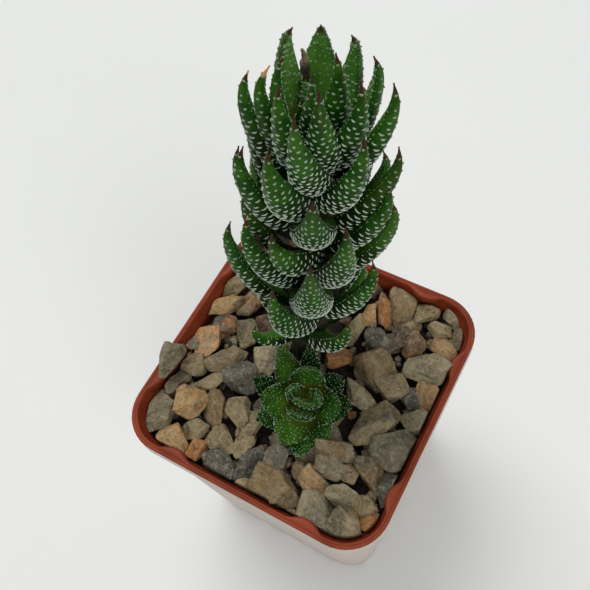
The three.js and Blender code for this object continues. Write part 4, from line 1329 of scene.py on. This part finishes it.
def leaf_greens(tree):
    """Dark greens in blotches, fresher inside and on young leaves, painted shade near the root and in
    shade.
    """
    back = blend_colors(tree, blotches(tree, 170.0, 0.35, 0.65), color(22, 62, 13), color(50, 98, 24))
    fresh = blend_colors(tree, blotches(tree, 240.0, 0.35, 0.65), color(62, 118, 34), color(94, 144, 56))
    green = blend_colors(tree, scaled(tree, "inner", 0.1, 0.9, 0.85), back, fresh)
    light = product(tree, scaled(tree, "young", 0.1, 0.9, 0.45), scaled(tree, "inner", 0.1, 0.8))
    lit = blend_colors(tree, light, green, color(90, 144, 54))
    tanned = blend_colors(tree, scaled(tree, "chance", 0.62, 2.0, 0.7), lit, color(104, 100, 26))
    heart = product(tree, scaled(tree, "young", 0.2, 0.9), scaled(tree, "along", 0.5, 0.3, 0.5))
    hearted = blend_colors(tree, heart, tanned, color(122, 104, 30))
    # Painted shade: the back turns nearly black green towards the root, where the leaves crowd; the inner
    # face is left out.
    low = product(tree, scaled(tree, "along", 0.76, 0.42, 0.95), scaled(tree, "inner", 0.3, 0.0))
    root_shaded = blend_colors(tree, low, hearted, color(5, 24, 3))
    return blend_colors(tree, attribute(tree, "shade"), root_shaded, color(6, 24, 6))


def leaf_finish():
    """The greens, with olive brown along the keel, a red-brown tip, and straw on the few dry tips."""
    made, tree, shader = new_material("leaf_skin", Roughness=0.45, Specular_IOR_Level=0.16,
                                      Specular_Tint=color(160, 205, 96), Subsurface_Weight=0.04,
                                      Subsurface_Scale=0.001)
    ridge = product(tree, scaled(tree, "along", 0.7, 0.95, 0.45), attribute(tree, "keel"))
    keeled = blend_colors(tree, ridge, leaf_greens(tree), color(96, 92, 40))
    reddened = product(tree, scaled(tree, "along", 0.9, 0.965, 0.92), attribute(tree, "red_tip"))
    dark_tip = blend_colors(tree, reddened, keeled, color(70, 34, 28))
    share = put(tree, "Math", {0: attribute(tree, "along"), 1: attribute(tree, "dry")}, operation="ADD")
    straw = put(tree, "MapRange", {"Value": share.outputs[0], "From Min": 1.0, "From Max": 1.015})
    tipped = blend_colors(tree, straw.outputs["Result"], dark_tip, color(206, 150, 96))
    plug(tree, shader, Base_Color=tipped, Normal=grain(tree, 1100.0, 0.00022))
    return made


# %% [markdown]
# A wart is a speck of chalky skin with green under it. How white it is travels with each bead, so rows
# can fade from white bars low on the leaf to green dots at the tip.

# %% Wart finish


def wart_finish():
    """Chalky white over green: how white is told by each bead."""
    made, tree, shader = new_material("wart_chalk", Roughness=0.6)
    worn = product(tree, attribute(tree, "white"), 0.95)
    chalk = blend_colors(tree, blotches(tree, 1200.0, 0.3, 0.7), color(232, 242, 226), color(198, 218, 190))
    plug(tree, shader, Base_Color=blend_colors(tree, worn, color(66, 116, 36), chalk))
    return made


# %% [markdown]
# Two dead surfaces are left: the dried leaf bases on the stem, dark and streaky, their dark also painted
# shade in the gaps between the leaf roots, and the scraps, which look like brown paper, darker towards
# their root end.

# %% Finishes of the stem and the scraps


def dried_bases_and_shade_finish():
    """Dried leaf bases: dark brown and olive in streaks, rough; the dark is also painted shade between leaf
    roots.
    """
    made, tree, shader = new_material("dried_bases_and_shade", Roughness=0.9)
    # Painted shade: the near-black streaks also stand for the shade in the gaps between the leaf roots.
    streaks_and_shade = blend_colors(tree, blotches(tree, 260.0, 0.4, 0.6), color(20, 36, 10), color(50, 50, 22))
    plug(tree, shader, Base_Color=streaks_and_shade, Normal=grain(tree, 900.0, 0.0008))
    return made


def scrap_finish():
    """Papery straw and brown in streaks, nearly black towards the root."""
    made, tree, shader = new_material("dried_scrap", Roughness=0.85)
    paper = blend_colors(tree, blotches(tree, 500.0, 0.4, 0.6), color(170, 142, 116), color(104, 78, 56))
    darker_root_end = blend_colors(tree, scaled(tree, "darker_root_end", 0.3, 0.55, 0.85), paper, color(30, 24, 18))
    plug(tree, shader, Base_Color=darker_root_end, Normal=grain(tree, 1500.0, 0.0005))
    return made


LEAF_FINISH = leaf_finish()
WART_FINISH = wart_finish()
dress(stem_skin, LEAF_FINISH, "main_stem")
dress(stem_core, dried_bases_and_shade_finish(), "main_stem")
dress(scraps, scrap_finish(), "main_stem")
dress(rosette, LEAF_FINISH, "offset_rosette")
for piece in wart_pieces:
    dress(piece, WART_FINISH, "main_stem")
dress(rosette_beads, WART_FINISH, "offset_rosette")
print("all materials:", [material.name for material in bpy.data.materials])

# %% [markdown]
# ## Floor and light
# The pot stands on a plain pale floor, as in the photograph. Two large lamps light it, one high at the
# left and a weaker one at the right, with a pale sky all round.

# %% Floor
FLOOR_REACH = 4000.0


def make_floor():
    """A wide square sheet under the pot with a faintly uneven white."""
    corners = [(-1, -1, 0), (1, -1, 0), (1, 1, 0), (-1, 1, 0)]
    points = FLOOR_REACH * np.array(corners, float)
    floor = add_mesh("floor", points, np.array([[0, 1, 2, 3]]), np.zeros((0, 3), int))
    made, tree, shader = new_material("pale_floor", Roughness=0.9)
    clouds = blotches(tree, 3.0, 0.3, 0.7)
    plug(tree, shader, Base_Color=blend_colors(tree, clouds, color(240, 241, 238), color(237, 238, 235)))
    floor.data.materials.append(made)


make_floor()

# %% [markdown]
# The lamps are wide squares, because a wide lamp throws soft shadows, as an overcast window does. Each
# is aimed at the middle of the plant.

# %% Lamps
LAMP_AIM = np.array([0, 0, 0.1])


def add_lamp(name, place, size, power):
    """A square area lamp at a place (m), aimed at the middle of the plant."""
    lamp_data = bpy.data.lights.new(name, "AREA")
    lamp_data.size = size
    lamp_data.energy = power
    lamp = bpy.data.objects.new(name, lamp_data)
    bpy.context.scene.collection.objects.link(lamp)
    aim = LAMP_AIM - np.array(place)
    back = -aim / np.linalg.norm(aim)
    right = np.cross([0, 0, 1.0], back)
    right /= np.linalg.norm(right)
    placed = Matrix((right, np.cross(back, right), back)).transposed().to_4x4()
    placed.translation = place
    lamp.matrix_world = placed
    print(name, "at", place, "m with", power, "watts")


add_lamp("key_lamp", (-0.8, 0.5, 2.2), 1.3, 26.0)
add_lamp("fill_lamp", (1.5, -1.0, 1.7), 1.5, 15.0)

# %% [markdown]
# The sky is one even pale colour. It lights the shadows from all sides.

# %% Sky
SKY_STRENGTH = 0.47

world = bpy.data.worlds.new("pale_sky")
world.use_nodes = True
background = world.node_tree.nodes["Background"]
background.inputs["Color"].default_value = color(236, 238, 240)
background.inputs["Strength"].default_value = SKY_STRENGTH
bpy.context.scene.world = world
print("sky strength", SKY_STRENGTH)
